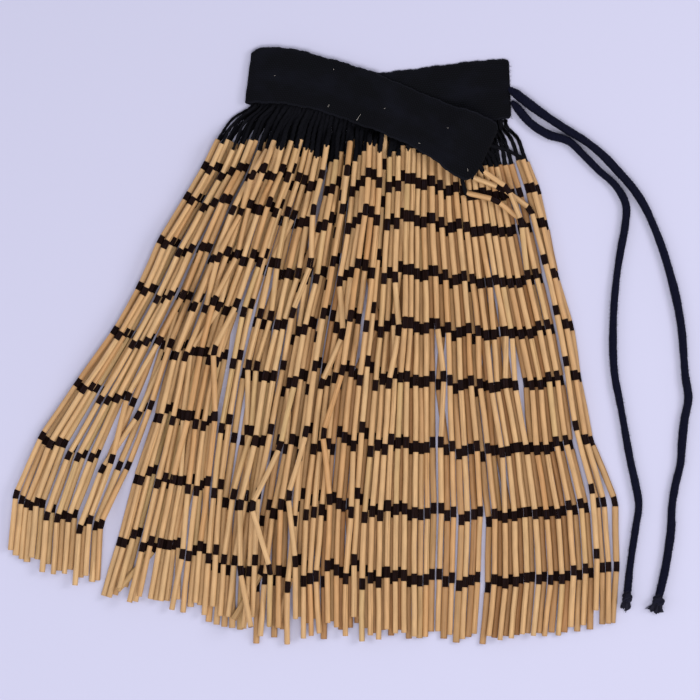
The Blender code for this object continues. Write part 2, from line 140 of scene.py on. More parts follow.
Guide = namedtuple("Guide", "strand front_root back_root top_x top_y links hem_x link uneven loose")
GUIDES = (
    Guide(0, 0.00, 0, -89, 185, (-101, -117, -141, -160, -182, -215, -247, -270), -275, 7.4, 4, 0.1),
    Guide(8, 0.05, 0.04, -69, 180, (-80, -96, -118, -137, -160, -189, -216, -233), -236, 7.6, 7, 0.8),
    Guide(16, 0.10, 0.08, -54, 181, (-63, -78, -96, -113, -133, -149, -170, -194), -198, 7.9, 8, 1.2),
    Guide(17, 0.105, 0.085, -52, 181, (-61, -76, -94, -110, -128, -140, -159, -175), -190, 7.9, 8, 1.2),
    Guide(32, 0.20, 0.16, -29, 181, (-38, -50, -64, -80, -92, -104, -110, -118), -121, 8.6, 8, 1.3),
    Guide(33, 0.21, 0.165, -27, 181, (-36, -48, -62, -77, -88, -98, -103, -107), -111, 8.6, 9, 1.3),
    Guide(47, 0.33, 0.29, 8, 179, (2, -6, -15, -25, -34, -44, -55, -60), -62, 8.9, 11, 1.3),
    Guide(48, 0.34, 0.295, 10, 170, (5, -3, -12, -22, -31, -41, -52, -56), -58, 8.9, 13, 1.3),
    Guide(64, 0.50, 0.45, 42, 179, (40, 37, 30, 22, 15, 9, 4, 3), 3, 9.5, 13, 1.2),
    Guide(73, 0.60, 0.55, 64, 186, (64, 63, 60, 55, 50, 45, 39, 37), 37, 9.5, 8, 0.8),
    Guide(74, 0.61, 0.555, 66, 177, (66, 65, 63, 59, 54, 49, 43, 41), 41, 9.5, 7, 0.8),
    Guide(85, 0.67, 0.65, 86, 177, (85, 84, 84, 83, 82, 81, 81, 81), 81, 9.5, 5, 0.5),
    Guide(96, 0.78, 0.79, 125, 167, (126, 129, 134, 138, 140, 145, 148, 145), 141, 8.8, 5, 0.5),
    Guide(97, 0.79, 0.8, 128, 167, (129, 132, 137, 142, 144, 149, 156, 155), 149, 8.8, 6, 0.5),
    Guide(106, 0.88, 0.9, 152, 164, (155, 159, 167, 174, 176, 188, 194, 198), 194, 8.4, 5, 0.6),
    Guide(107, 0.89, 0.91, 154, 164, (158, 163, 171, 181, 190, 193, 200, 204), 199, 8.4, 5, 0.6),
    Guide(118, 0.99, 0.99, 182, 167, (192, 202, 212, 222, 231, 240, 258, 262), 262, 8.4, 4, 0.4),
    Guide(119, 1.00, 1, 189, 167, (199, 206, 216, 229, 235, 246, 268, 269), 265, 8.4, 3, 0.1),
)
Stray = namedtuple("Stray", "strand joint shift")
HEM = 9
STRAYS = (
    Stray(25, HEM, -24),
    Stray(40, 6, 12),
    Stray(34, 5, -12),
    Stray(52, 7, -12),
    Stray(60, 4, 12),
    Stray(44, HEM, 14),
    Stray(66, 6, -12),
    Stray(51, HEM, -28),
    Stray(57, HEM, -13),
    Stray(69, 4, 14),
)
Turned = namedtuple("Turned", "strand top_x top_y link1_x link2_x")
TURNED = (
    Turned(114, 134, 138, 161, 187),
    Turned(116, 140, 152, 166, 193),
    Turned(112, 149, 157, 172, 184),
)

OUTER_ROUTE = (
    (177.5, 230.5), (200, 213), (227, 195), (250, 180), (270, 160), (290, 136), (303, 110),
    (313, 83), (323, 46), (328.5, 13), (331, -23), (334, -50), (329, -73), (327, -103),
    (319.5, -136), (318, -163), (313, -197), (307, -223),
)
INNER_ROUTE = (
    (179.5, 217.5), (196, 199), (215, 189), (229.5, 184), (250, 163), (270, 144.5),
    (279, 126.5), (278, 110), (272, 77), (268, 43.5), (266.5, 10.5), (267.5, -23),
    (273.5, -56), (278, -83), (283.5, -113), (289, -140), (285, -169.5), (281, -196.5),
    (278.5, -220),
)

# ---------------------------------------------------------------- sizes of what is dressed on
BAND_STEP = 1.05  # spacing of the band's points
BAND_POINTS = 3000  # points by which its length is measured
BAND_EDGE = 1.5  # how far its edges are rounded
EDGE_PLACES = (0.0, 0.12, 0.45, 0.9)  # where that round edge has points of its own
END_THIN = 0.15  # share of its thickness that is left at its very ends
BAND_SKIN = 0.02  # how far its outer face stands over the solid's
BAND_SINK = 0.05  # and how much further in its inner face lies
CORNER = (-61.5, 270.9)  # where its sides would meet at the top of the fold
CORNER_ROUND = 13.5  # and the radius of that corner
# How much of the corner the top edge takes on, by its place from the fold.
CORNER_REACH = ((-12.0, 0.0), (0.0, 1.0), (14.0, 1.0), (24.0, 0.0))
END_ROUNDS = ((2.0, 3.0), (5.0, 11.0))  # roundness of the top and lower corner of its two ends
EDGE_WOBBLE = ((0.35, 31.0), (0.25, 12.3), (0.15, 5.1))  # unevenness of its edges, and its length
WOBBLE_START = (0.4, 2.9)  # this keeps the top and the lower edge from waving together
BAND_RIPPLES = ((0.16, 41.0, 23.0), (0.10, 19.0, 31.0), (0.07, 9.0, 12.0))  # height, two lengths
RIPPLE_BEAT = 1.7  # length over which a ripple comes and goes, in lengths of its own
RIPPLE_MOST = 0.3
RUBBED_AND_HIGHLIT_EDGE = 2.2  # how far from its edges the yarn is lighter: rubbed yarn with a painted highlight along its rounded edges
RUBBED_AND_HIGHLIT_MOST = 0.45

TUBE_POINTS = 14  # points across the leaf of a tube
TUBE_STATIONS = np.array([0.0, 0.035, 0.5, 0.965, 1.0])
TUBE_TURNS = 1.14  # how far round the leaf rolls over itself
LEAF_WRAP = 1.12  # room that each turn of it takes, in thicknesses
TUBE_BOW = 0.45  # greatest sideways bow of a tube as long as BOW_LONG
BOW_LONG = 50.0
TUBE_LIFT = 0.3  # and its greatest upward bow
TUBE_OWN_WIDE = (0.93, 1.02)  # a tube's width over the usual
TUBE_TAPER = 0.035  # greatest change of width along a tube
SEAM_DRIFT = 0.5  # greatest turn of its seam along it, in radians
# Width and height of a roll over its size: those of the back half are pressed flatter.
PRESSED = {"back": (1.14, 0.78), "front": (1.0, 0.9)}
BROWNING_AND_PAINTED_SHADE = {"back": (0.35, 0.7), "front": (0.0, 0.12)}  # how much the leaf is darkened on each half: painted shade on the back half, which lies under the front half, and slightly browned leaf on the front
BROWNING_AND_SHADE_FROM = ((30, 66), (0.0, 1.0))  # less so on the strands of the left side
MOUTH_BROWN = 0.2  # and how much more round a tube's mouths
STRAND_TONE, STRAND_HUE = 0.55, 0.6  # how much of a tube's look is its strand's
LINK_LONG = 1.08  # a link's length, seen beside what the joint between tubes takes

LINK_HANKS = 3
LINK_SIDES = 6
LINK_TUCK = 2.5  # how far a link reaches into the tubes
LINK_MOUTH = ((-LINK_TUCK, 0.3), (-0.1, 0.7), (0.6, 1.0))  # fullness, by distance from a mouth
LINK_MIDDLE = (0.35, 0.65)  # where it has points of its own between them
# How far out a hank lies where a link has no fullness, and what full fullness adds to it.
HANK_SPREAD = (0.55, 0.4)
HANK_WIDE = (0.42, 0.22)  # the same for its half width, of its share of the link
HANK_HIGH = (0.95, -0.3)  # and for its half height
HANK_SWAY, HANK_RISE = 0.25, 0.35
HANK_OWN_WIDE = (0.85, 1.1)
HANK_LIE = 0.8  # distance round a hank between its points

STRING_SIDES = 6
STRING_POINT_STEP = 1.7
STRING_TUCK = 4.0  # how far a string reaches into its first tube
STRING_BEFORE = 1.2  # where it straightens ahead of it
STRING_MOUTH = ((0.0, 0.5), (3.6, 0.8), (4.7, 1.0))  # width, by distance from its hidden end
# How thick a string is by its strand's number: those at both sides hang clear of each other.
STRING_THICKNESS = ((6, 24, 108, 118), (0.6, 1.0, 1.0, 0.85))
STRING_LAY = 13.0  # length of one turn of its two plies
STRING_PLY_OUT, STRING_PLY = 0.09, 0.41  # how far out a ply lies and its radius, of the width
EDGE_PLY_OUT, EDGE_PLY, EDGE_LAY = 0.62, 0.85, 6.0  # the same for the cord along a fringe's strip
EDGE_NUMBER = 900  # number of its first ply among the strings
OFF_FLOOR = 0.05  # least gap between a ply and the floor

FUZZ_FIBRES = 1900
FUZZ_THICK, FUZZ_LONG = 0.17, (0.5, 1.4)
FUZZ_FROM = 0.5  # how far inside the edge it is rooted
END_THREADS = 46
END_THREAD_THICK, END_THREAD_LONG = 0.35, (0.9, 2.8)
END_THREAD_LOW = 0.6  # power that brings more of them low down on the end
LINT_THICK = 0.4

CORD_SIDES = 10
CORD_POINT_STEP = 0.9
CORD_LAY = 7.5  # length of one turn of its plies
CORD_PLIES = 3
CORD_PLY_OUT, CORD_PLY = 0.15, 0.35  # how far out a ply lies and its radius, of the width
CORD_SWELL = ((0.055, 118.0), (0.035, 44.0), (0.02, 14.5), (0.025, 3.7))  # unevenness, its length
CORD_TUCK = 5.0  # how far a cord reaches into the band
CORD_ROOT = ((0, 3, 9), (0.5, 0.72, 1.0))  # thickness, by distance from its hidden end
CORD_FULL = ((30, 90), (1.12, 1.0))  # and how much fuller it is near the band
CORD_FIBRES = 3.2  # stray fibres a millimetre
CORD_FIBRE_THICK = 0.16
CORD_FIBRE_LONG = (0.7, 2.0)
CORD_FIBRE_OUT = 0.46  # where they come out, of the width

KNOT_POINTS, KNOT_SIDES = 90, 8
KNOT_PLACE = (5.6, 2.9)  # its middle, ahead of the cord's last point and over it
KNOT_REACH = (2.55, 1.3, 1.75)  # radius, how much it changes and how far it goes along
KNOT_LAY = 15.0
KNOT_PLY_OUT, KNOT_PLY = 1.05, 1.45
KNOT_LOWEST = 1.55
KNOT_LIE = 1.1  # distance round a ply between its points
NECK = (-2.0, 6.0)  # stretch over which the cord runs on into its knot
NECK_POINTS, NECK_RADIUS, NECK_NUMBER = 6, 3.4, 7
LOCKS = 34  # locks that a cord's end is teased out into
LOCK_POINTS, LOCK_SIDES = 7, 6
LOCK_LONG, LOCK_RADIUS = (5.5, 9.5), (0.8, 1.35)
LOCK_CURL = (0.5, 1.2, 0.8)  # least and most turns, and how wide they are
TUFT_FROM = 8.5  # how far ahead of the cord's last point the tuft starts
TUFT_WIDE = 3.0  # half its width there
TUFT_DROP = 2.0
STRAY_END_THICK, STRAY_END_FROM = 1.3, 2.0

VIEW_POINT = 0.9  # size of one point of the view, on the floor
VIEW_WIDE = 700  # and how many it has across
AIM = (29.7, -3.2, 4.0)
CAMERA_FAR = 3.0
CAMERA_RISE = 87.0
CAMERA_SENSOR = 36.0
CAMERA_SEES = 40.0
FLOOR_REACH = 9.0  # metres from the middle of the backdrop to its edges
FLOOR_BELOW = 0.0001
LAMP_AIM = (0.03, 0, 0)


# ---------------------------------------------------------------- lines
def smooth_line(points, shares):
    """Places at shares of the way along a smooth line through the points."""
    points = np.array(points, float)
    slopes = np.gradient(points, axis=0)
    at = np.clip(np.array(shares), 0, 1) * (len(points) - 1)
    i = np.minimum(at.astype(int), len(points) - 2)
    u = (at - i)[:, None]
    return (
        (2 * u**3 - 3 * u**2 + 1) * points[i]
        + (u**3 - 2 * u**2 + u) * slopes[i]
        + (3 * u**2 - 2 * u**3) * points[i + 1]
        + (u**3 - u**2) * slopes[i + 1]
    )


def even_line(points, count):
    """A smooth line through the points, as count places evenly apart."""
    fine = smooth_line(points, np.linspace(0, 1, 40 * len(points)))
    along = lengths_along(fine)
    at = np.linspace(0, along[-1], count)
    return np.stack([np.interp(at, along, fine[:, k]) for k in range(fine.shape[1])], axis=1)


def lengths_along(line):
    """How far along a line each of its points is."""
    return np.concatenate([[0], np.cumsum(np.linalg.norm(np.diff(line, axis=0), axis=1))])


def line_length(line):
    return float(np.linalg.norm(np.diff(line, axis=0), axis=1).sum())


# ---------------------------------------------------------------- how things lie on each other
class Pile:
    """The heights of what has been laid so far, on a grid of cells over the floor."""

    def __init__(self):
        self.corner = np.array(PILE_REACH)
        self.tops = np.zeros(tuple((2 * self.corner / CELL).astype(int)))

    def cells(self, points):
        index = ((points + self.corner) / CELL).astype(int)
        return index[:, 0], index[:, 1]

    def under(self, points):
        return self.tops[self.cells(points)]

    def add(self, points, tops):
        np.maximum.at(self.tops, self.cells(points), tops)


def covered(left, right, margin):
    """Points that a ribbon between two edge lines covers, with a margin at its sides.

    With each point comes how much it hangs on each joint, and how far across it lies.
    """
    points, shares, across = [], [], []
    for i in range(len(left) - 1):
        wide = max(np.linalg.norm(right[i] - left[i]), np.linalg.norm(right[i + 1] - left[i + 1]))
        long = max(np.linalg.norm(left[i + 1] - left[i]), np.linalg.norm(right[i + 1] - right[i]))
        s, t = np.meshgrid(
            np.linspace(0, 1, math.ceil(long / STEP) + 1),
            np.linspace(
                -margin / wide, 1 + margin / wide, math.ceil((wide + 2 * margin) / STEP) + 1
            ),
        )
        s, t = s.ravel()[:, None], t.ravel()[:, None]
        start = left[i] + (right[i] - left[i]) * t
        end = left[i + 1] + (right[i + 1] - left[i + 1]) * t
        share = np.zeros((len(s), len(left)))
        share[:, i] = 1 - s[:, 0]
        share[:, i + 1] = s[:, 0]
        points.append(start + (end - start) * s)
        shares.append(share)
        across.append(t[:, 0])
    return np.concatenate(points), np.concatenate(shares), np.concatenate(across)


def rest(shares, needed, heights, held=0):
    """Raise the joints, all but the first held ones, until no point is below what it needs."""
    free = shares[:, :held].sum(axis=1) < HELD_REACH
    shares, needed, heights = shares[free], needed[free], heights.copy()
    for _ in range(REST_ROUNDS):
        short = needed - shares @ heights
        worst = int(short.argmax())
        if short[worst] <= 0:
            break
        pull = shares[worst].copy()
        pull[:held] = 0
        heights += pull * (short[worst] + REST_SLACK) / (pull @ pull)
    return heights


def lay_ribbon(pile, left, right, thick, start_height=None):
    """Lay a ribbon on the pile, and give the heights of its underside at its joints."""
    points, shares, _ = covered(left, right, SIDE_GAP)
    heights = np.full(len(left), SEAM)
    held = 0
    if start_height is not None:
        heights[0] = start_height
        held = 1
    heights = rest(shares, pile.under(points) + SEAM, heights, held)
    points, shares, _ = covered(left, right, 0)
    pile.add(points, shares @ (heights + thick))
    return heights


# ---------------------------------------------------------------- plan of the strands
def between_guides(values, strand):
    """A strand's own value, from those that the guide strands have."""
    return float(np.interp(strand, [g.strand for g in GUIDES], values))


def push_apart(places, room, rounds):
    """Spread places that are closer than room, a little in each round."""
    order = np.argsort(places)
    places = np.array(places)[order]
    low, high = places[0], places[-1]
    for _ in range(rounds):
        push = np.clip(room - np.diff(places), 0, None) / 4
        places[:-1] -= push
        places[1:] += push
    spread = np.empty(len(places))
    spread[order] = np.clip(places, low, high)
    return spread


def sideways_places(chance):
    """Sideways places of every strand's top, links and hem end, one row for each of them."""
    columns = [[g.top_x for g in GUIDES]]
    columns += [[g.links[i] for g in GUIDES] for i in range(len(TUBE_LONG) - 1)]
    columns += [[g.hem_x for g in GUIDES]]
    sway = [0.0] * STRAND_COUNT
    rows = []
    for joint, column in enumerate(columns):
        places = []
        for strand in range(STRAND_COUNT):
            loose = between_guides([g.loose for g in GUIDES], strand)
            reach = SWAY[joint]
            if chance.random() < STRAY_CHANCE:
                reach = STRAY_SWAY[joint]
            sway[strand] = SWAY_KEPT * sway[strand] + chance.uniform(-reach, reach) * loose
            places.append(between_guides(column, strand) + sway[strand])
        places = push_apart(places, ELBOW_ROOM, ELBOW_ROUNDS)
        for side in (0, 1):
            places[side::2] = push_apart(places[side::2], FRINGE_ROOM, ELBOW_ROUNDS)
        rows.append(places)
    for stray in STRAYS:
        rows[stray.joint][stray.strand] += stray.shift
    return rows


def plan_strands():
    """Where each strand's top, eight links and hem end lie on the floor."""
    chance = random.Random(SEED)
    rows = sideways_places(chance)
    turned = {t.strand: t for t in TURNED}
    plans = []
    for strand in range(STRAND_COUNT):
        uneven = between_guides([g.uneven for g in GUIDES], strand)
        link = between_guides([g.link for g in GUIDES], strand)
        x = rows[0][strand]
        y = between_guides([g.top_y for g in GUIDES], strand) + chance.uniform(-uneven, uneven)
        across = [row[strand] for row in rows[1:]]
        steepest = STEEPEST
        if strand in turned:
            turn = turned[strand]
            x, y = turn.top_x, turn.top_y
            across[:2] = turn.link1_x, turn.link2_x
            steepest = TURNED_STEEPEST
        plan = [(x, y)]
        for joint, (place, tube) in enumerate(zip(across, TUBE_LONG)):
            ends = joint in (0, len(TUBE_LONG) - 1)
            long = tube + (link / 2 if ends else link)
            run = max(-steepest * long, min(steepest * long, place - x))
            x, y = x + run, y - math.sqrt(long**2 - run**2)
            plan.append((x, y))
        plans.append(np.array(plan))
    return plans


def laying_order():
    """The back strands and then the front ones, every other one first and odd ones out last."""
    last = [s.strand for s in STRAYS] + [t.strand for t in TURNED]
    order = []
    for first in (1, 0):
        lot = [s for s in range(first, STRAND_COUNT, 2) if s not in last]
        order.append(lot[::2] + lot[1::2] + [s for s in last if s % 2 == first])
    return order


def band_edges(half, start, end, count):
    """The top and lower edges of one half of the band, at count places between two shares."""
    shares = np.linspace(start, end, count)
    top = smooth_line([(s.top_x, s.top_y) for s in half], shares)
    low = smooth_line([(s.low_x, s.low_y) for s in half], shares)
    return top, low


def strip_lines(half, ends, count, outside):
    """The two long edges of a fringe's strip, the one nearer the band's middle first."""
    top, low = band_edges(half, *ends, count)
    inward = (top - low) / np.linalg.norm(top - low, axis=1)[:, None]
    tuck = smooth_line([(s.tuck,) for s in half], np.linspace(*ends, count))
    if outside:
        near = low - inward * SEAM
        return near, near - inward * STRIP_WIDE
    outer = low + inward * tuck
    return outer + inward * STRIP_WIDE, outer


def fringe_stations(half, ends, strands, plans, outside):
    """A strip's edge lines, with two stations for each strand, and the first of each pair."""
    strands = sorted(strands, key=lambda s: plans[s][0][0])
    column = [g.back_root if outside else g.front_root for g in GUIDES]
    roots = [between_guides(column, s) for s in sorted(strands)]  # in order along the strip
    near, outer = strip_lines(half, ends, STRIP_POINTS, outside)
    if outer[0][0] > outer[-1][0]:
        near, outer = near[::-1], outer[::-1]
    along = lengths_along(outer)
    margin = STRING_WIDE
    places, first = [0.0], {}
    for s, root in zip(strands, roots):
        middle = margin + root * (along[-1] - 2 * margin)
        middle = max(middle, places[-1] + STRING_WIDE / 2 + SIDE_GAP)
        first[s] = len(places)
        places += [middle - STRING_WIDE / 2, middle + STRING_WIDE / 2]
    places.append(max(along[-1], places[-1] + SIDE_GAP))

    def pick(line):
        return np.stack([np.interp(places, along, line[:, k]) for k in range(2)], axis=1)

    return pick(near), pick(outer), first


def strand_edges(plan, root, wides):
    """The two edges of a strand on the floor, from its root to its hem end."""
    start, top = np.array(root), plan[0]
    bends = start + (top - start) * np.array(STRING_BENDS)
    first = plan[1] - top
    tube_start = top + first / np.linalg.norm(first) * TUBE_LIP
    line = np.vstack([start, bends, top, tube_start, plan[1:]])
    along = np.diff(line, axis=0)
    along /= np.linalg.norm(along, axis=1)[:, None]
    ahead = np.vstack([along, along[-1]])
    behind = np.vstack([along[0], along])
    side = ahead + behind
    side /= np.linalg.norm(side, axis=1)[:, None]
    side = np.stack([-side[:, 1], side[:, 0]], axis=1)
    square = (side * np.stack([-ahead[:, 1], ahead[:, 0]], axis=1)).sum(axis=1)
    reach = (wides / 2 / np.maximum(square, MITRE_LIMIT))[:, None]
    return line + side * reach, line - side * reach


# ---------------------------------------------------------------- the skirt as it lies
# A strand's joints are its root, two string bends, the string's end, the first tube's
# start, its eight links and its hem end. Under is the height of its underside at each.
Strand = namedtuple("Strand", "number joints under edge_point")
Fringe = namedtuple("Fringe", "strands edge")  # with the middle line of its strip
FIRST_TUBE = 4


def lay_fringe(strands, plans, pile, near, outer, stations):
    """Lay one fringe's strip and then its strands, and give where they all are."""
    strip_low = lay_ribbon(pile, near, outer, STRIP_THICK)
    wides = np.array([STRING_WIDE] * 4 + [TUBE_WIDE] * (len(TUBE_LONG) + 1))
    highs = np.array([STRIP_THICK] + [STRING_HIGH] * 3 + [TUBE_WIDE] * (len(TUBE_LONG) + 1))
    laid = []
    for strand in strands:
        a = stations[strand]
        root = (outer[a] + outer[a + 1]) / 2
        left, right = strand_edges(plans[strand], root, wides)
        under = lay_ribbon(pile, left, right, highs, strip_low[a])
        inner = (near[a] + near[a + 1]) / 2
        laid.append(Strand(strand, (left + right) / 2, under, inner))
    middle = (near + outer) / 2
    edge = np.column_stack([middle, strip_low + STRIP_THICK / 2])
    return Fringe(sorted(laid), edge)


def lay_front_band(pile, top, low):
    """Lay the front half on everything else, and give its height at both edges."""
    points, shares, across = covered(top, low, SIDE_GAP)
    both = np.hstack([shares * (1 - across[:, None]), shares * across[:, None]])
    needed = pile.under(points) + SEAM
    count = len(top)
    heights = rest(both, needed, np.full(2 * count, BAND_THICK + SEAM))
    for _ in range(EASE_ROUNDS):
        for edge in (slice(0, count), slice(count, 2 * count)):
            run = heights[edge]
            mean = np.convolve(np.pad(run, 1, mode="edge"), (0.25, 0.5, 0.25), mode="valid")
            heights[edge] = np.maximum(run, mean)
    return heights[:count], heights[count:]


def raised(place, height):
    return np.array([place[0], place[1], height])


def band_rows(pile):
    """Sections of the band from its free back end round the fold to its front end.

    Each row holds a point of the top edge, one of the lower edge and the way it faces.
    """
    back_top, back_low = band_edges(BACK_HALF, 0, 1, BACK_SECTIONS)
    front_top, front_low = band_edges(FRONT_HALF, 0, 1, FRONT_SECTIONS)
    top_under, low_under = lay_front_band(pile, front_top, front_low)
    middle = BAND_THICK / 2
    rows = []
    for top, low in zip(back_top, back_low):
        rows.append([raised(top, middle), raised(low, middle), (0, 0, -1.0)])
    top_radius, low_radius = top_under[0] / 2, low_under[0] / 2
    for turn in np.linspace(-math.pi / 2, math.pi / 2, FOLD_SECTIONS + 2)[1:-1]:
        outward = np.array([-math.cos(turn), 0, math.sin(turn)])
        top = raised(front_top[0], middle + top_radius) + outward * top_radius
        low = raised(front_low[0], middle + low_radius) + outward * low_radius
        rows.append([top, low, outward])
    for top, low, top_z, low_z in zip(front_top, front_low, top_under, low_under):
        rows.append([raised(top, top_z + middle), raised(low, low_z + middle), (0, 0, 1.0)])
    return np.array([np.concatenate(row) for row in rows])


@functools.cache
def laid_skirt():
    """Lay the back fringe, the front fringe and the band, and give all three."""
    plans = plan_strands()
    back, front = laying_order()
    pile = Pile()
    near, outer, stations = fringe_stations(BACK_HALF, BACK_STRIP_ENDS, back, plans, True)
    back_fringe = lay_fringe(back, plans, pile, near, outer, stations)
    points, _, _ = covered(*band_edges(BACK_HALF, 0, 1, BACK_SECTIONS), 0)
    pile.add(points, BAND_THICK)
    near, outer, stations = fringe_stations(FRONT_HALF, FRONT_STRIP_ENDS, front, plans, False)
    front_fringe = lay_fringe(front, plans, pile, near, outer, stations)
    return {"back": back_fringe, "front": front_fringe, "band": band_rows(pile)}


# ---------------------------------------------------------------- mesh helpers
UP = np.array([0, 0, 1.0])
SHARP = math.radians(50)  # an edge that bends further than this isn't shaded over


def unit(vectors):
    """The same vectors at length one, a single one or one in each row."""
    return vectors / np.linalg.norm(vectors, axis=-1, keepdims=True)


def ways(path):
    """Unit vectors along a path that lies down, to its side and upward, at each point."""
    along = unit(np.gradient(path, axis=0))
    side = unit(np.cross(UP, along))
    return along, side, np.cross(along, side)


def swept(path, sections, frame=None):
    """Rings of points round a path, from sections given as sideways and upward places."""
    _, side, up = frame or ways(path)
    sections = np.broadcast_to(sections, (len(path), *sections.shape[-2:]))
    return path[:, None] + side[:, None] * sections[..., :1] + up[:, None] * sections[..., 1:]


def circle(sides):
    turn = 2 * math.pi * np.arange(sides) / sides
    return np.stack([np.cos(turn), np.sin(turn)], axis=1)


def rounded(share):
    """How far in from a corner a round one lies, at a share of the way towards it."""
    return 1 - np.sqrt(1 - share**2)


def by_point(first, second, third):
    """Three values for each point of some rings, from what is the same all along or round."""
    return np.stack(np.broadcast_arrays(first, second, third), axis=-1)


class Bundle:
    """Points and faces of many like parts, gathered into one joined mesh.

    Lie says how far round and along its own part each point is, in millimetres, with a
    number for the part. Tone holds the part's shade, its hue and a third number: on the
    tubes how far the leaf is darkened, partly painted shade and partly browned leaf; on the
    band how much lighter its edges are, rubbed yarn with a painted highlight; on yarn how
    frayed it is.
    """

    def __init__(self):
        self.points, self.lies, self.tones, self.faces = [], [], [], []
        self.count = 0

    def add_rings(self, rings, lies, tones, rolled=False):
        """Skin rings of points one after the other. A rolled ring goes out and back."""
        many, around = rings.shape[:2]
        index = self.count + np.arange(many * around).reshape(many, around)
        beside = np.roll(index, -1, axis=1)
        quads = np.stack([index[:-1], index[1:], beside[1:], beside[:-1]], axis=-1)
        self.faces += quads.reshape(-1, 4).tolist()
        if rolled:
            for ring, turn in ((index[0], 1), (index[-1], -1)):
                out, back = ring[: around // 2], ring[::-1][: around // 2]
                lips = np.stack([out[:-1], out[1:], back[1:], back[:-1]], axis=-1)
                self.faces += lips[:, ::turn].tolist()
        else:
            self.faces += [index[0].tolist(), index[-1][::-1].tolist()]
        self.points.append(rings.reshape(-1, 3))
        self.lies.append(np.broadcast_to(lies, rings.shape).reshape(-1, 3))
        self.tones.append(np.broadcast_to(tones, rings.shape).reshape(-1, 3))
        self.count += many * around

    def add_round(self, path, radii, sides, number, tones):
        """A round part along a path, with its lie."""
        radii = np.broadcast_to(radii, len(path))
        girth = 2 * math.pi * float(radii.max())
        around = np.linspace(0, girth, sides, endpoint=False)
        lies = by_point(around, lengths_along(path)[:, None], number)
        self.add_rings(swept(path, circle(sides) * radii[:, None, None]), lies, tones)

    def make(self, name, material, slot, solid=None):
        """Join it all into one piece that rides on the body, in the place of a solid if any."""
        mesh = bpy.data.meshes.new(name)
        mesh.from_pydata(np.concatenate(self.points) * MM, [], self.faces)
        for layer, values in (("lie", self.lies), ("tone", self.tones)):
            layer = mesh.attributes.new(layer, "FLOAT_VECTOR", "POINT")
            layer.data.foreach_set("vector", np.concatenate(values).astype(np.float32).ravel())
        bm = bmesh.new()
        bm.from_mesh(mesh)
        bmesh.ops.recalc_face_normals(bm, faces=bm.faces)
        bm.to_mesh(mesh)
        bm.free()
        mesh.shade_smooth()
        mesh.set_sharp_from_angle(angle=SHARP)
        mesh.materials.append(material)
        piece = bpy.data.objects.new(name, mesh)
        bpy.context.scene.collection.objects.link(piece)
        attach(piece, "root")
        if solid:
            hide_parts(solid)
        return piece


# ---------------------------------------------------------------- materials
# Widths and lengths of the marks that run along each material, in millimetres.
LEAF_VEINS, LEAF_BLOTCHES = (0.55, 26.0), (5.0, 16.0)
LINK_THREADS = (0.3, 14.0)
STRING_FIBRE, CORD_FIBRE, FUZZ_FIBRE = 0.35, 0.5, 0.4
BAND_NAP, BAND_DUST = (0.5, 0.8), (30.0, 18.0)
LINT_FIBRES = (0.3, 2.0)
BACKDROP_TOOTH = 1.111  # coarser than real paper's, so that it shows at all
PARTS_APART = 7.3  # how far apart in the noise the marks of two parts begin
ONE_WAVE = 0.31  # scale at which Blender's wave texture repeats once in a unit
STITCH_SLANT = math.radians(38)


def linear(code):
    """An sRGB hex colour as linear red, green, blue and alpha."""
    parts = [int(code[i : i + 2], 16) / 255 for i in (1, 3, 5)]
    parts = [p / 12.92 if p <= 0.04045 else ((p + 0.055) / 1.055) ** 2.4 for p in parts]
    return (*parts, 1.0)


def set_sockets(tree, node, sockets):
    """Set or link a node's inputs, given by name or number, or in order."""
    named = sockets if isinstance(sockets, dict) else dict(enumerate(sockets))
    for socket, value in named.items():
        if isinstance(value, bpy.types.NodeSocket):
            tree.links.new(value, node.inputs[socket])
        else:
            node.inputs[socket].default_value = value


def add_node(tree, kind, sockets=(), output=0, **settings):
    """Add a shader node with its settings and inputs, and give one of its outputs."""
    node = tree.nodes.new("ShaderNode" + kind)
    for name, value in settings.items():
        setattr(node, name, value)
    set_sockets(tree, node, sockets)
    return node.outputs[output]


def new_material(name):
    """A material with its node tree and its Principled shader."""
    material = bpy.data.materials.new(name)
    material.use_nodes = True
    return material, material.node_tree, material.node_tree.nodes["Principled BSDF"]


def lie_and_tone(tree):
    """The lie of a part's points, and the three numbers of its tone."""
    lie = add_node(tree, "Attribute", output="Vector", attribute_name="lie")
    tone = add_node(tree, "Attribute", output="Vector", attribute_name="tone")
    parts = add_node(tree, "SeparateXYZ", (tone,)).node.outputs
    return lie, parts


def streaks(tree, lie, wide, long, detail=2.0):
    """Noise drawn out along a part, from the real width and length of its streaks."""
    scales = (1 / wide, 1 / long, PARTS_APART)
    scaled = add_node(tree, "VectorMath", (lie, scales), operation="MULTIPLY")
    sockets = {"Vector": scaled, "Scale": 1.0, "Detail": detail}
    return add_node(tree, "TexNoise", sockets, "Fac")


def coats(tree, hue, *layers):
    """Lay coats over a first colour, each with its share, its colour and how it blends."""
    for share, colour, blend in layers:
        hue = add_node(
            tree, "Mix", {0: share, 6: hue, 7: colour}, 2, data_type="RGBA", blend_type=blend
        )
    return hue


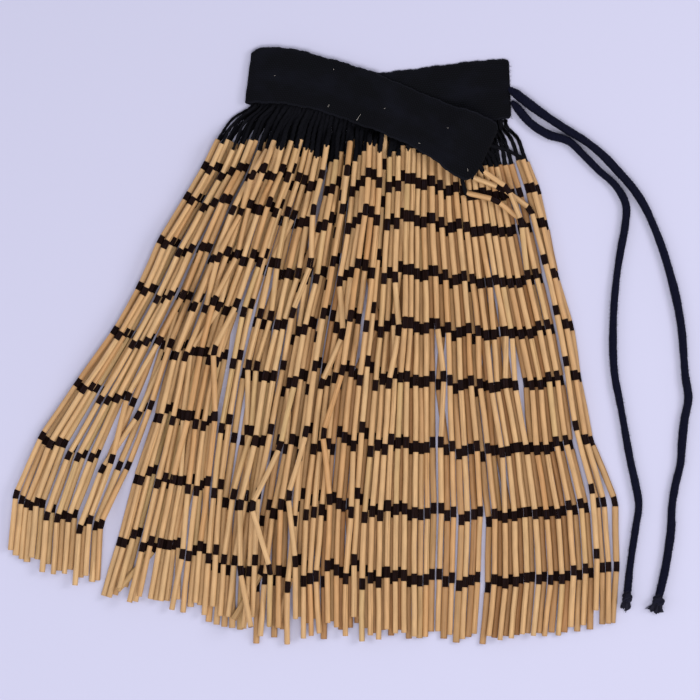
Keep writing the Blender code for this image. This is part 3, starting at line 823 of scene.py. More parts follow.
def rolled_leaf():
    """Dried flax leaf, rolled: a satin straw skin with fine veins along it."""
    looks = bpy.context.scene.piupiu_strands
    material, tree, shader = new_material("Dried flax leaf, rolled")
    lie, (shade, hue, painted_shade_and_browning) = lie_and_tone(tree)
    veins = streaks(tree, lie, *LEAF_VEINS)
    blotches = streaks(tree, lie, *LEAF_BLOTCHES)
    greener = add_node(tree, "MapRange", (hue, 0.72, 1.0, 0, 0.75))
    redder = add_node(tree, "MapRange", (hue, 0.25, 0.0, 0, 0.7))
    vein_shade = add_node(tree, "MapRange", (veins, 0.35, 0.7, 0.86, 1.06))
    blotch_shade = add_node(tree, "MapRange", (blotches, 0.3, 0.75, 0.88, 1.08))
    set_sockets(tree, shader, {
        "IOR": 1.45,
        "Specular IOR Level": 0.4,
        "Base Color": coats(
            tree, (*looks.pale_leaf, 1),
            (shade, (*looks.tan_leaf, 1), "MIX"),
            (greener, (*looks.green_leaf, 1), "MIX"),
            (redder, (*looks.red_leaf, 1), "MIX"),
            (1.0, vein_shade, "MULTIPLY"),
            (1.0, blotch_shade, "MULTIPLY"),
            # the third tone darkens the leaf: painted shade on the back half and inside each roll,
            # browned leaf and dye stains elsewhere
            (painted_shade_and_browning, (*looks.shade_and_browning_colour, 1), "MULTIPLY"),
        ),
        "Roughness": add_node(tree, "MapRange", (veins, 0.3, 0.7, 0.62, 0.42)),
        "Normal": add_node(
            tree, "Bump", {"Height": veins, "Distance": 0.12 * MM, "Strength": 0.6}
        ),
    })
    return material


def dyed_fibre():
    """Bare flax fibre, dyed black: combed threads with a silky, bluish gleam along them."""
    looks = bpy.context.scene.piupiu_strands
    material, tree, shader = new_material("Flax fibre, scraped bare and dyed")
    lie, (_, hue, _) = lie_and_tone(tree)
    threads = streaks(tree, lie, *LINK_THREADS, 3.0)
    gleam = add_node(tree, "MapRange", (threads, 0.6, 0.85, 0, 1))
    set_sockets(tree, shader, {
        "IOR": 1.5,
        "Specular IOR Level": 0.06,
        "Base Color": coats(
            tree, (*looks.dye, 1),
            (hue, (*looks.thin_dye, 1), "MIX"),
            (gleam, linear("#2b2d40"), "MIX"),
        ),
        "Roughness": add_node(tree, "MapRange", (threads, 0.35, 0.7, 0.7, 0.42)),
        "Normal": add_node(
            tree, "Bump", {"Height": threads, "Distance": 0.25 * MM, "Strength": 0.9}
        ),
    })
    return material


def black_thread(name, colour, lit, fibre, sheen):
    """Twisted black yarn: soft and matt, with fine fibres along each ply and a painted highlight where
    they stand up.
    """
    material, tree, shader = new_material(name)
    lie, (_, _, frayed) = lie_and_tone(tree)
    fibres = streaks(tree, lie, fibre, fibre * 9, 3.0)
    # where fibres stand up the yarn takes the lighter colour as a painted highlight; frayed yarn takes
    # it too
    painted_fibre_highlight = add_node(tree, "MapRange", (fibres, 0.45, 0.85, 0, 1))
    set_sockets(tree, shader, {
        "IOR": 1.5,
        "Specular IOR Level": 0.08,
        "Sheen Weight": sheen,
        "Sheen Roughness": 0.5,
        "Sheen Tint": (0.75, 0.78, 1.0, 1.0),
        "Base Color": coats(
            tree, (*colour, 1), (painted_fibre_highlight, (*lit, 1), "MIX"), (frayed, (*lit, 1), "MIX")
        ),
        "Roughness": add_node(tree, "MapRange", (fibres, 0.3, 0.7, 0.95, 0.75)),
        "Normal": add_node(
            tree, "Bump", {"Height": fibres, "Distance": fibre * 0.6 * MM, "Strength": 0.8}
        ),
    })
    return material


def twined_band():
    """Close twined weave in black yarn: matt, with fine slanting stitches in rows."""
    looks = bpy.context.scene.piupiu_band
    material, tree, shader = new_material("Black yarn, close twined")
    lie, (_, _, rubbed_and_highlit) = lie_and_tone(tree)
    rows = looks.row_height / MM
    slanted = add_node(
        tree, "Mapping",
        {"Vector": lie, "Rotation": (0, 0, STITCH_SLANT), "Scale": (1 / rows, 1 / rows, 0)},
    )
    stitches = add_node(
        tree, "TexWave",
        {"Vector": slanted, "Scale": ONE_WAVE, "Distortion": 1.2, "Detail": 1.0,
         "Detail Scale": 2.0},
        "Fac", bands_direction="X",
    )
    level = add_node(tree, "Mapping", {"Vector": lie, "Scale": (0.03, 1 / rows, 0)})
    ribs = add_node(
        tree, "TexWave", {"Vector": level, "Scale": ONE_WAVE, "Distortion": 0.6, "Detail": 1.0},
        "Fac", bands_direction="Y",
    )
    weave = add_node(tree, "Math", (stitches, ribs), operation="MULTIPLY")
    nap = streaks(tree, lie, *BAND_NAP, 3.0)
    dusty = add_node(tree, "MapRange", (streaks(tree, lie, *BAND_DUST), 0.45, 0.75, 0, 0.4))
    relief = add_node(tree, "Math", (nap, 0.5, weave), operation="MULTIPLY_ADD")
    set_sockets(tree, shader, {
        "IOR": 1.5,
        "Specular IOR Level": 0.08,
        "Sheen Weight": 0.02,
        "Sheen Roughness": 0.5,
        "Sheen Tint": (0.8, 0.82, 1.0, 1.0),
        "Base Color": coats(
            tree, (*looks.shadow_yarn, 1),
            (weave, (*looks.yarn, 1), "MIX"),
            (dusty, linear("#131521"), "MIX"),
            # lighter towards the edges: rubbed yarn with a painted highlight along the rounded edges
            (rubbed_and_highlit, linear("#20222d"), "MIX"),
        ),
        "Roughness": add_node(tree, "MapRange", (weave, 0, 1, 0.98, 0.8)),
        "Normal": add_node(
            tree, "Bump", {"Height": relief, "Distance": 0.45 * MM, "Strength": 0.75}
        ),
    })
    return material


def pale_lint():
    """Stray lint: short pale fibres that stand out on the black band."""
    material, tree, shader = new_material("Cotton lint")
    fibres = streaks(tree, lie_and_tone(tree)[0], *LINT_FIBRES)
    hue = coats(tree, linear("#8f8a88"), (fibres, linear("#d8d2cc"), "MIX"))
    set_sockets(tree, shader, {"IOR": 1.5, "Roughness": 0.9, "Base Color": hue})
    return material


def smooth_backdrop():
    """Matt backdrop paper: an even, pale lavender ground with the faintest tooth."""
    looks = bpy.context.scene.piupiu_stage
    material, tree, shader = new_material("Matt backdrop paper")
    place = add_node(tree, "TexCoord", output="Object")
    sockets = {"Vector": place, "Scale": 1 / (BACKDROP_TOOTH * MM), "Detail": 2.0}
    tooth = add_node(tree, "TexNoise", sockets, "Fac")
    set_sockets(tree, shader, {
        "IOR": 1.45,
        "Specular IOR Level": 0.2,
        "Base Color": (*looks.floor_colour, 1),
        "Roughness": add_node(tree, "MapRange", (tooth, 0, 1, 0.8, 0.95)),
    })
    return material


# ---------------------------------------------------------------- what a user may change
def colour_setting(name, description, code):
    return bpy.props.FloatVectorProperty(
        name=name, description=description, default=linear(code)[:3],
        subtype="COLOR", size=3, min=0.0, max=1.0,
    )


def length_setting(name, description, millimetres):
    return bpy.props.FloatProperty(
        name=name, description=description, default=millimetres * MM,
        subtype="DISTANCE", unit="LENGTH", min=0.0,
    )


class BandSettings(bpy.types.PropertyGroup):
    """The woven waistband."""

    row_height: length_setting("Row height", "Height of one twined row of the weave", 1.9)
    yarn: colour_setting("Yarn", "Colour of the yarn where the weave stands up", "#0b0d16")
    shadow_yarn: colour_setting("Yarn below", "Colour down between the rows", "#07080c")


class StrandSettings(bpy.types.PropertyGroup):
    """The strings, rolled tubes and dyed links."""

    tube_width: length_setting("Tube width", "Width of a rolled tube", 5.45)
    leaf_thickness: length_setting("Leaf thickness", "Thickness of the dried leaf", 0.35)
    link_width: length_setting("Link width", "Width of a dyed link", 5.0)
    string_width: length_setting("String width", "Width of a two-ply string", 4.5)
    pale_leaf: colour_setting("Pale leaf", "Colour of the palest tubes", "#cfad80")
    tan_leaf: colour_setting("Tan leaf", "Colour of the darkest tubes", "#c59c6e")
    green_leaf: colour_setting("Greenish leaf", "Colour of tubes dried greener", "#bba371")
    red_leaf: colour_setting("Reddish leaf", "Colour of tubes dried redder", "#bd8954")
    # the colour that darkens the leaf, for painted shade as much as for browned leaf
    shade_and_browning_colour: colour_setting("Browning", "What browned leaf is darkened by", "#a8875f")
    string_colour: colour_setting("String", "Colour of the strings", "#07080e")
    # the lighter colour of the strings' fibres is a painted highlight
    string_highlight: colour_setting("String fibres", "Colour of fibres that stand up", "#10111a")
    dye: colour_setting("Dye", "Colour of the dyed fibre", "#120504")
    thin_dye: colour_setting("Thin dye", "Colour where the dye took less", "#190b09")


class TieSettings(bpy.types.PropertyGroup):
    """The tie cords and their end knots."""

    cord_width: length_setting("Cord width", "Width of a tie cord", 8.0)
    cord_colour: colour_setting("Cord", "Colour of the cords", "#080a1d")
    lit_colour: colour_setting("Cord fibres", "Colour of the fibres that stand up", "#10132b")
    # on the knots this colour is also the painted highlight of fibres that stand up
    frayed_and_highlight_colour: colour_setting("Frayed ends", "Colour of the teased out ends", "#22222f")


class StageSettings(bpy.types.PropertyGroup):
    """The floor and the light."""

    floor_colour: colour_setting("Floor", "Colour of the backdrop", "#c3c6e3")
    key_power: bpy.props.FloatProperty(
        name="Overhead light", description="Power of the two lights above", default=35.0,
        subtype="POWER", unit="POWER", min=0.0,
    )
    side_power: bpy.props.FloatProperty(
        name="Side light", description="Power of the light from the right", default=12.5,
        subtype="POWER", unit="POWER", min=0.0,
    )
    sky: bpy.props.FloatProperty(
        name="Room light", description="Strength of the even light all round", default=0.62,
        min=0.0,
    )


# ---------------------------------------------------------------- stage
def area_light(name, power, size, place, colour):
    """A square soft light that shines at the middle of the skirt."""
    lamp = bpy.data.lights.new(name, "AREA")
    lamp.shape = "SQUARE"
    lamp.size = size
    lamp.energy = power
    lamp.color = linear(colour)[:3]
    item = bpy.data.objects.new(name, lamp)
    item.location = place
    item.rotation_euler = (Vector(LAMP_AIM) - Vector(place)).to_track_quat("-Z", "Y").to_euler()
    bpy.context.scene.collection.objects.link(item)


class PIUPIU_OT_set_stage(bpy.types.Operator):
    """Set the camera above the skirt, the floor under it and soft light over it"""

    bl_idname = "piupiu.set_stage"
    bl_label = "Set the stage"

    def execute(self, context):
        looks = context.scene.piupiu_stage
        rise = math.radians(CAMERA_RISE)
        lens = bpy.data.cameras.new("camera")
        lens.sensor_width = CAMERA_SENSOR
        lens.lens = CAMERA_SENSOR * CAMERA_FAR / (VIEW_POINT * VIEW_WIDE * MM)
        lens.clip_end = CAMERA_SEES
        camera = bpy.data.objects.new("camera", lens)
        away = Vector((0, -math.cos(rise), math.sin(rise)))
        camera.location = Vector(AIM) * MM + CAMERA_FAR * away
        camera.rotation_euler = (math.pi / 2 - rise, 0, 0)
        context.scene.collection.objects.link(camera)
        context.scene.camera = camera
        context.scene.view_settings.view_transform = "Standard"

        bm = bmesh.new()
        bmesh.ops.create_grid(bm, x_segments=12, y_segments=12, size=FLOOR_REACH)
        mesh = bpy.data.meshes.new("floor")
        bm.to_mesh(mesh)
        bm.free()
        mesh.materials.append(smooth_backdrop())
        floor = bpy.data.objects.new("floor", mesh)
        floor.location = (0, 0, -FLOOR_BELOW)
        context.scene.collection.objects.link(floor)

        for side, place in (("right", (0.5, -0.95, 2.5)), ("left", (-0.5, -1.25, 2.4))):
            area_light(f"overhead light {side}", looks.key_power / 2, 0.8, place, "#fff9f2")
        area_light("side light right", looks.side_power, 0.7, (1.5, 0.25, 1.3), "#fffaf6")
        area_light("side light left", looks.side_power / 3, 0.9, (-1.5, -0.2, 1.3), "#f2f2ff")
        world = bpy.data.worlds.new("room")
        world.use_nodes = True
        sky = world.node_tree.nodes["Background"]
        sky.inputs["Color"].default_value = linear("#f3efee")
        sky.inputs["Strength"].default_value = looks.sky
        context.scene.world = world
        return {"FINISHED"}


# ---------------------------------------------------------------- ties and knots
def tie_path(route):
    """The middle of a tie cord, in millimetres, from the band's end to its knot."""
    rough = even_line(route, ROUTE_POINTS)
    line = even_line(route, round(line_length(rough) / TIE_POINT_STEP) + 1)
    return np.column_stack([line, np.full(len(line), TIE_WIDE / 2 + TIE_LIFT)])


def ply_path(path, radius, lay, phase):
    """The middle of one ply, wound round a path at a radius that may change."""
    _, side, up = ways(path)
    turn = phase + 2 * math.pi * lengths_along(path) / lay
    radius = np.broadcast_to(radius, len(path))
    return path + side * (radius * np.cos(turn))[:, None] + up * (radius * np.sin(turn))[:, None]


def add_fibre(bundle, chance, start, way, long, thick, number):
    """One stray fibre, three-sided and tapered, that curls a little."""
    way = unit(np.array(way))
    curl = np.array([chance.uniform(-1, 1), chance.uniform(-1, 1), 0]) * 0.5
    share = np.linspace(0, 1, 4)[:, None]
    path = start + way * long * share + curl * long * share**2
    path[:, 2] = np.maximum(path[:, 2], thick)
    if abs(way[2]) > 0.95:  # a path may not stand upright
        path[:, 0] += 0.2 * long * share[:, 0]
    bundle.add_round(path, thick / 2 * (1.1 - 0.7 * share[:, 0]), 3, number, (0.5, 0.5, 0.6))


def add_cord(bundle, path, scale, chance):
    """Three soft plies twisted round a path, with the fibres that stray from them."""
    wide = bpy.context.scene.piupiu_ties.cord_width / MM
    at = lengths_along(path)
    swell = 1 + sum(
        high * np.sin(2 * math.pi * at / long + chance.uniform(0, 6)) for high, long in CORD_SWELL
    )
    radii = CORD_PLY * wide * scale * swell
    for ply in range(CORD_PLIES):
        phase = 2 * math.pi * ply / CORD_PLIES
        middle = ply_path(path, CORD_PLY_OUT * wide * scale * swell, CORD_LAY, phase)
        middle[:, 2] = np.maximum(middle[:, 2], radii + OFF_FLOOR)
        bundle.add_round(middle, radii, CORD_SIDES, ply, (0.5, 0.5, 0.0))
    _, side, up = ways(path)
    for _ in range(int(line_length(path) * CORD_FIBRES)):
        at = chance.randrange(4, len(path))
        turn = chance.uniform(-0.6, math.pi + 0.6)
        out = side[at] * math.cos(turn) + up[at] * math.sin(turn)
        start = path[at] + out * wide * CORD_FIBRE_OUT * float(scale[at])
        way = out + (side[at] * chance.uniform(-1, 1) + up[at] * chance.uniform(-1, 1)) * 0.9
        way += (path[at] - path[at - 1]) * chance.uniform(-0.8, 0.8)
        long = chance.uniform(*CORD_FIBRE_LONG)
        add_fibre(bundle, chance, start, way, long, CORD_FIBRE_THICK, at)


def knot_loop(middle, ahead, side):
    """An overhand knot drawn up tight round a middle point, with its axis ahead."""
    turn = np.linspace(0, 2 * math.pi, KNOT_POINTS)[:, None]
    radius, change, along = KNOT_REACH
    reach = radius + change * np.cos(3 * turn)
    around = side * reach * np.cos(2 * turn) + UP * reach * np.sin(2 * turn)
    return middle + ahead * along * np.sin(3 * turn) + around


def add_knot(bundle, loop):
    """The plies of a knot, wound round its loop."""
    for ply in range(CORD_PLIES):
        phase = math.pi + 2 * math.pi * ply / CORD_PLIES
        strand = ply_path(loop, KNOT_PLY_OUT, KNOT_LAY, phase)
        strand[:, 2] = np.maximum(strand[:, 2], KNOT_LOWEST)
        rings = swept(strand, -circle(KNOT_SIDES) * KNOT_PLY, ways(loop))
        around = np.arange(KNOT_SIDES) * KNOT_LIE
        lies = by_point(around, lengths_along(strand)[:, None], ply)
        bundle.add_rings(rings, lies, (0.5, 0.5, 0.3))


def add_tuft(bundle, chance, tail, ahead, side):
    """The locks of a frayed end, spread over the floor and curling."""
    for lock in range(LOCKS):
        across, rise = chance.uniform(-1, 1), chance.gauss(0, 0.3)
        way = ahead + side * across * 0.55 + UP * (rise - 0.1)
        start = tail + side * across * TUFT_WIDE + UP * rise * TUFT_WIDE
        long = chance.uniform(*LOCK_LONG) * (1.0 - 0.3 * abs(across))
        steps = np.linspace(0, 1, LOCK_POINTS)[:, None]
        line = start + way * long * steps - UP * TUFT_DROP * steps**2
        least, most, curl_wide = LOCK_CURL
        curl = 2 * math.pi * (steps * chance.uniform(least, most) + chance.random())
        line += (side * np.cos(curl) + UP * np.sin(curl)) * curl_wide * steps
        thick = chance.uniform(*LOCK_RADIUS)
        line[:, 2] = np.maximum(line[:, 2], thick)
        radii = thick * (1.1 - 0.45 * steps[:, 0] ** 2)
        bundle.add_round(line, radii, LOCK_SIDES, lock, (0.5, 0.5, 0.8))


def make_knot(side_name, route, seed, wide, stray_ends):
    """An end knot with its frayed tuft, running on from the cord's last point."""
    chance = random.Random(seed)
    path = tie_path(route)
    last = path[-1]
    ahead = unit(last - path[-2])
    side = np.cross(UP, ahead) * wide
    bundle = Bundle()
    add_knot(bundle, knot_loop(last + ahead * KNOT_PLACE[0] + UP * KNOT_PLACE[1], ahead, side))
    neck = even_line([last + ahead * NECK[0], last + ahead * NECK[1]], NECK_POINTS)
    bundle.add_round(neck, NECK_RADIUS, 10, NECK_NUMBER, (0.5, 0.5, 0.3))
    tail = last + ahead * TUFT_FROM
    tail[2] = NECK_RADIUS
    add_tuft(bundle, chance, tail, ahead, side)
    for end, (forward, sideways, long) in enumerate(stray_ends):
        way = ahead * forward + side * sideways
        start = tail + way * STRAY_END_FROM
        start[2] = 1.6
        add_fibre(bundle, chance, start, way, long, STRAY_END_THICK, end)
    looks = bpy.context.scene.piupiu_ties
    name = f"tied_{side_name}"
    yarn = black_thread(
        f"{name} soft twisted yarn", looks.cord_colour, looks.frayed_and_highlight_colour, CORD_FIBRE, 0.02
    )
    bundle.make(name, yarn, "cord", f"knot_{side_name}")


class PIUPIU_OT_tie_knots(bpy.types.Operator):
    """Tie the end knot of each cord and fray its tuft"""

    bl_idname = "piupiu.tie_knots"
    bl_label = "Tie the end knots"

    def execute(self, context):
        make_knot("outer", OUTER_ROUTE, 11, 1.0, ((0.35, -1.0, 7.0), (0.9, -0.8, 7.5)))
        make_knot("inner", INNER_ROUTE, 12, 0.72, ((1.0, 0.35, 9.0),))
        return {"FINISHED"}


class PIUPIU_OT_lay_ties(bpy.types.Operator):
    """Twist both tie cords and lay them on the floor from the band's end"""

    bl_idname = "piupiu.lay_ties"
    bl_label = "Lay the tie cords"

    def execute(self, context):
        looks = context.scene.piupiu_ties
        yarn = black_thread(
            "Soft black yarn, three plies", looks.cord_colour, looks.lit_colour, CORD_FIBRE, 0.02
        )
        cords = (("outer", OUTER_ROUTE, 21, 0.97), ("inner", INNER_ROUTE, 22, 0.89))
        for name, route, seed, slim in cords:
            line = tie_path(route)
            back = line[0] + (line[0] - line[1]) / np.linalg.norm(line[1] - line[0]) * CORD_TUCK
            back[2] = BAND_THICK / 2 + SEAM
            points = np.vstack([back, line])
            path = even_line(points, round(line_length(line) / CORD_POINT_STEP))
            scale = np.interp(lengths_along(path), *CORD_ROOT)
            path[:, 2] = np.interp(scale, (0.5, 1.0), (back[2], line[0][2]))
            scale *= np.interp(lengths_along(path), *CORD_FULL) * slim
            bundle = Bundle()
            add_cord(bundle, path, scale, random.Random(seed))
            piece = bundle.make(f"cord_{name}", yarn, "cord", f"tie_{name}")
        return {"FINISHED"}


# ---------------------------------------------------------------- band
def band_profile(wide):
    """Places across the band from its top edge, and half its thickness at each of them."""
    near = np.array(EDGE_PLACES)
    inner = np.linspace(0, wide, round(wide / BAND_STEP) + 1)[1:-1]
    places = np.unique(np.concatenate([near, inner, wide - near]))
    edge = np.clip(np.minimum(places, wide - places) / BAND_EDGE, 0, 1)
    return places / wide, BAND_THICK / 2 * (1 - rounded(1 - edge)) + BAND_SKIN


def shape_edges(top, low, at):
    """Give the band's edges their unevenness, the round corner of the fold and round ends."""
    across = unit(top - low)
    for edge, start in zip((top, low), WOBBLE_START):
        for reach, long in EDGE_WOBBLE:
            edge += across * (reach * np.sin(2 * math.pi * at / long + start * long))[:, None]
    fold = at[(top + low)[:, 0].argmin()]
    inward = np.clip((CORNER[0] + CORNER_ROUND - top[:, 0]) / CORNER_ROUND, 0, 1)
    goal = CORNER[1] - CORNER_ROUND * rounded(inward)
    top[:, 1] += (goal - top[:, 1]) * np.interp(at - fold, *np.array(CORNER_REACH).T)
    for from_end, rounds in ((at, END_ROUNDS[0]), (at[-1] - at, END_ROUNDS[1])):
        for edge, way, reach in ((top, -1, rounds[0]), (low, 1, rounds[1])):
            short = np.clip(1 - from_end / reach, 0, 1)
            edge += way * across * (reach * rounded(short))[:, None]


def band_ripples(at, places):
    """Soft waves in the cloth, by how far along and across the band each point is."""
    chance = random.Random(5)
    ripples = 0
    for high, long, deep in BAND_RIPPLES:
        start = chance.uniform(0, 6)
        waves = 2 * math.pi * (at[:, None] / long + places[None] / deep) + start
        beat = np.cos(2 * math.pi * at[:, None] / (long * RIPPLE_BEAT) + start)
        ripples = ripples + high * np.sin(waves) * beat
    return ripples


@functools.cache
def band_surface():
    """The band's outer and inner faces as grids of points, with their places on the cloth."""
    fine = smooth_line(laid_skirt()["band"], np.linspace(0, 1, BAND_POINTS))
    along = lengths_along((fine[:, :3] + fine[:, 3:6]) / 2)
    at = np.linspace(0, along[-1], round(along[-1] / BAND_STEP))
    fine = np.stack([np.interp(at, along, fine[:, k]) for k in range(9)], axis=1)
    top, low, outward = fine[:, :3], fine[:, 3:6], unit(fine[:, 6:])
    wide = float(np.linalg.norm(top - low, axis=1).mean())
    shape_edges(top, low, at)
    shares, half = band_profile(wide)
    end = np.clip(np.minimum(at, at[-1] - at) / BAND_EDGE, 0, 1)
    half = half[None] * (END_THIN + (1 - END_THIN) * (1 - rounded(1 - end)))[:, None]
    flat = top[:, None] * (1 - shares[None, :, None]) + low[:, None] * shares[None, :, None]
    ripple = band_ripples(at, shares * wide) * np.clip(half / BAND_THICK * 2, 0, 1)
    face = flat + outward[:, None] * (half + np.minimum(ripple, RIPPLE_MOST))[..., None]
    face[..., 2] = np.maximum(face[..., 2], 0.0)
    inside = flat - outward[:, None] * (half - BAND_SINK)[..., None]
    return face, inside, at, shares * wide


class PIUPIU_OT_weave_band(bpy.types.Operator):
    """Weave the waistband in one strip, folded in two at the left"""

    bl_idname = "piupiu.weave_band"
    bl_label = "Weave the waistband"

    def execute(self, context):
        face, inside, at, places = band_surface()
        rings = np.concatenate([face, inside[:, ::-1]], axis=1)
        out_and_back = np.concatenate([places, places[::-1]])
        side = np.repeat((0.0, 1.0), len(places))
        # how much lighter the yarn is near each edge: rubbed, with a painted highlight
        rubbed_and_highlit = np.clip(1 - np.minimum(places, places[-1] - places) / RUBBED_AND_HIGHLIT_EDGE, 0, 1) ** 1.5
        tones = by_point(0.0, 0.0, np.concatenate([rubbed_and_highlit, rubbed_and_highlit[::-1]]) * RUBBED_AND_HIGHLIT_MOST)
        bundle = Bundle()
        bundle.add_rings(rings, by_point(at[:, None], out_and_back, side), tones, rolled=True)
        bundle.make("band", twined_band(), "band", "waistband")
        return {"FINISHED"}


# ---------------------------------------------------------------- strings
def tube_line(strand, number):
    """The two ends of one tube's middle line, from where its links or string leave off."""
    joints = np.column_stack([strand.joints, strand.under + TUBE_WIDE / 2])
    start, end = joints[FIRST_TUBE + number], joints[FIRST_TUBE + number + 1]
    way = unit(end - start)
    half = between_guides([g.link for g in GUIDES], strand.number) / 2 * LINK_LONG
    if number > 0:
        start = start + way * half
    if number < len(TUBE_LONG) - 1:
        end = end - way * half
    return start, end, way


def string_path(strand, chance):
    """A string's middle line, from inside the band's edge to inside the first tube."""
    start, _, way = tube_line(strand, 0)
    strip_middle = strand.under[0] + STRIP_THICK / 2
    points = [raised(strand.edge_point, strip_middle), raised(strand.joints[0], strip_middle)]
    for joint in (1, 2):
        points.append(raised(strand.joints[joint], strand.under[joint] + STRING_HIGH / 2))
    points = np.array([*points, start - way * STRING_BEFORE, start + way * STRING_TUCK])
    path = even_line(points, max(6, round(line_length(points) / STRING_POINT_STEP)))
    share = np.linspace(0, 1, len(path))
    wave = chance.uniform(0.2, 0.7) * np.sin(share * chance.uniform(5, 10) + chance.uniform(0, 6))
    path[:, 0] += wave * np.sin(math.pi * share)
    return path


class PIUPIU_OT_twist_strings(bpy.types.Operator):
    """Twist the black strings and the corded edge that they hang from"""

    bl_idname = "piupiu.twist_strings"
    bl_label = "Twist the strings"

    def execute(self, context):
        looks = context.scene.piupiu_strands
        yarn = black_thread(
            "Black flax string, two plies", looks.string_colour, looks.string_highlight,
            STRING_FIBRE, 0.01,
        )
        for side, seed in (("back", 31), ("front", 32)):
            chance = random.Random(seed)
            bundle = Bundle()
            fringe = laid_skirt()[side]
            for strand in fringe.strands:
                self.twist(bundle, chance, strand, looks.string_width / MM)
            edge = even_line(fringe.edge, round(line_length(fringe.edge) / STRING_POINT_STEP))
            for ply in (0, 1):
                middle = ply_path(edge, EDGE_PLY_OUT, EDGE_LAY, ply * math.pi)
                middle[:, 2] = np.maximum(middle[:, 2], EDGE_PLY + OFF_FLOOR)
                number = EDGE_NUMBER + ply
                bundle.add_round(middle, EDGE_PLY, STRING_SIDES, number, (0.5, 0.5, 0.0))
            bundle.make(f"strings_{side}", yarn, "strands", f"fringe_{side}")
        return {"FINISHED"}

    def twist(self, bundle, chance, strand, wide):
        """One string, of two plies."""
        path = string_path(strand, chance)
        at = lengths_along(path)
        wide = wide * np.interp(at[-1] - at, *np.array(STRING_MOUTH).T)
        wide *= np.interp(strand.number, *STRING_THICKNESS)
        phase = chance.uniform(0, 6)
        for ply in (0, 1):
            middle = ply_path(path, STRING_PLY_OUT * wide, STRING_LAY, phase + ply * math.pi)
            middle[:, 2] = np.maximum(middle[:, 2], STRING_PLY * wide + OFF_FLOOR)
            number, tones = strand.number * 2 + ply, (chance.random(), chance.random(), 0.0)
            bundle.add_round(middle, STRING_PLY * wide, STRING_SIDES, number, tones)


# ---------------------------------------------------------------- rolled tubes
def rolled_section(radius, thick, seam):
    """One leaf rolled over itself: its outer points from the hidden edge, then back inside."""
    turn = np.linspace(0, 2 * math.pi * TUBE_TURNS, TUBE_POINTS)
    out = radius - LEAF_WRAP * thick * (1 - turn / turn[-1]) * TUBE_TURNS
    round_way = np.stack([np.cos(turn + seam), np.sin(turn + seam)], axis=1)
    outer = round_way * out[:, None]
    inner = round_way * (out - thick)[:, None]
    return np.concatenate([outer, inner[::-1]]), turn * radius


class PIUPIU_OT_roll_tubes(bpy.types.Operator):
    """Roll every tube of dried leaf, nine on each strand"""

    bl_idname = "piupiu.roll_tubes"
    bl_label = "Roll the tubes"

    def execute(self, context):
        looks = context.scene.piupiu_strands
        leaf = rolled_leaf()
        size = looks.tube_width / MM / 2, looks.leaf_thickness / MM
        for side, seed in (("back", 41), ("front", 42)):
            chance = random.Random(seed)
            bundle = Bundle()
            for strand in laid_skirt()[side].strands:
                tone, hue = chance.random(), chance.random()
                # painted shade on the back half's strands, slightly browned leaf on the front's
                painted_shade_and_browning = chance.uniform(*BROWNING_AND_PAINTED_SHADE[side]) * np.interp(strand.number, *BROWNING_AND_SHADE_FROM)
                for number in range(len(TUBE_LONG)):
                    ends = tube_line(strand, number)[:2]
                    self.roll(bundle, chance, ends, size, PRESSED[side], (tone, hue, painted_shade_and_browning))
            bundle.make(f"tubes_{side}", leaf, "strands", f"fringe_{side}")
        return {"FINISHED"}

    def roll(self, bundle, chance, ends, size, pressed, strand_look):
        """One tube, a little bowed, with its own width, seam and tone."""
        start, end = ends
        radius, thick = size
        strand_tone, strand_hue, painted_shade_and_browning = strand_look
        long = float(np.linalg.norm(end - start))
        bow = np.sin(math.pi * TUBE_STATIONS)
        path = start + (end - start) * TUBE_STATIONS[:, None]
        path[:, 0] += bow * chance.uniform(-TUBE_BOW, TUBE_BOW) * long / BOW_LONG
        path[:, 2] += bow * chance.uniform(0, TUBE_LIFT)
        own = radius * chance.uniform(*TUBE_OWN_WIDE)
        taper = chance.uniform(-TUBE_TAPER, TUBE_TAPER)
        seam, drift = chance.uniform(0, 2 * math.pi), chance.uniform(-SEAM_DRIFT, SEAM_DRIFT)
        sections = []
        for share in TUBE_STATIONS:
            wide = own * (1 + taper * (share - 0.5))
            section, around = rolled_section(wide, thick, seam + drift * share)
            sections.append(section * pressed)
        out_and_back = np.concatenate([around, around[::-1]])
        along = (TUBE_STATIONS * long)[:, None]
        lies = by_point(out_and_back, along, chance.uniform(0, 60))
        tones = np.zeros(lies.shape)
        tones[..., 0] = STRAND_TONE * strand_tone + (1 - STRAND_TONE) * chance.random()
        tones[..., 1] = STRAND_HUE * strand_hue + (1 - STRAND_HUE) * chance.random()
        tones[..., 2] = painted_shade_and_browning
        # the inside of each roll is darkened in full: painted shade in the hollow
        tones[:, TUBE_POINTS:, 2] = 1.0
        tones[[0, -1], :TUBE_POINTS, 2] += MOUTH_BROWN
        bundle.add_rings(swept(path, np.array(sections)), lies, tones, rolled=True)


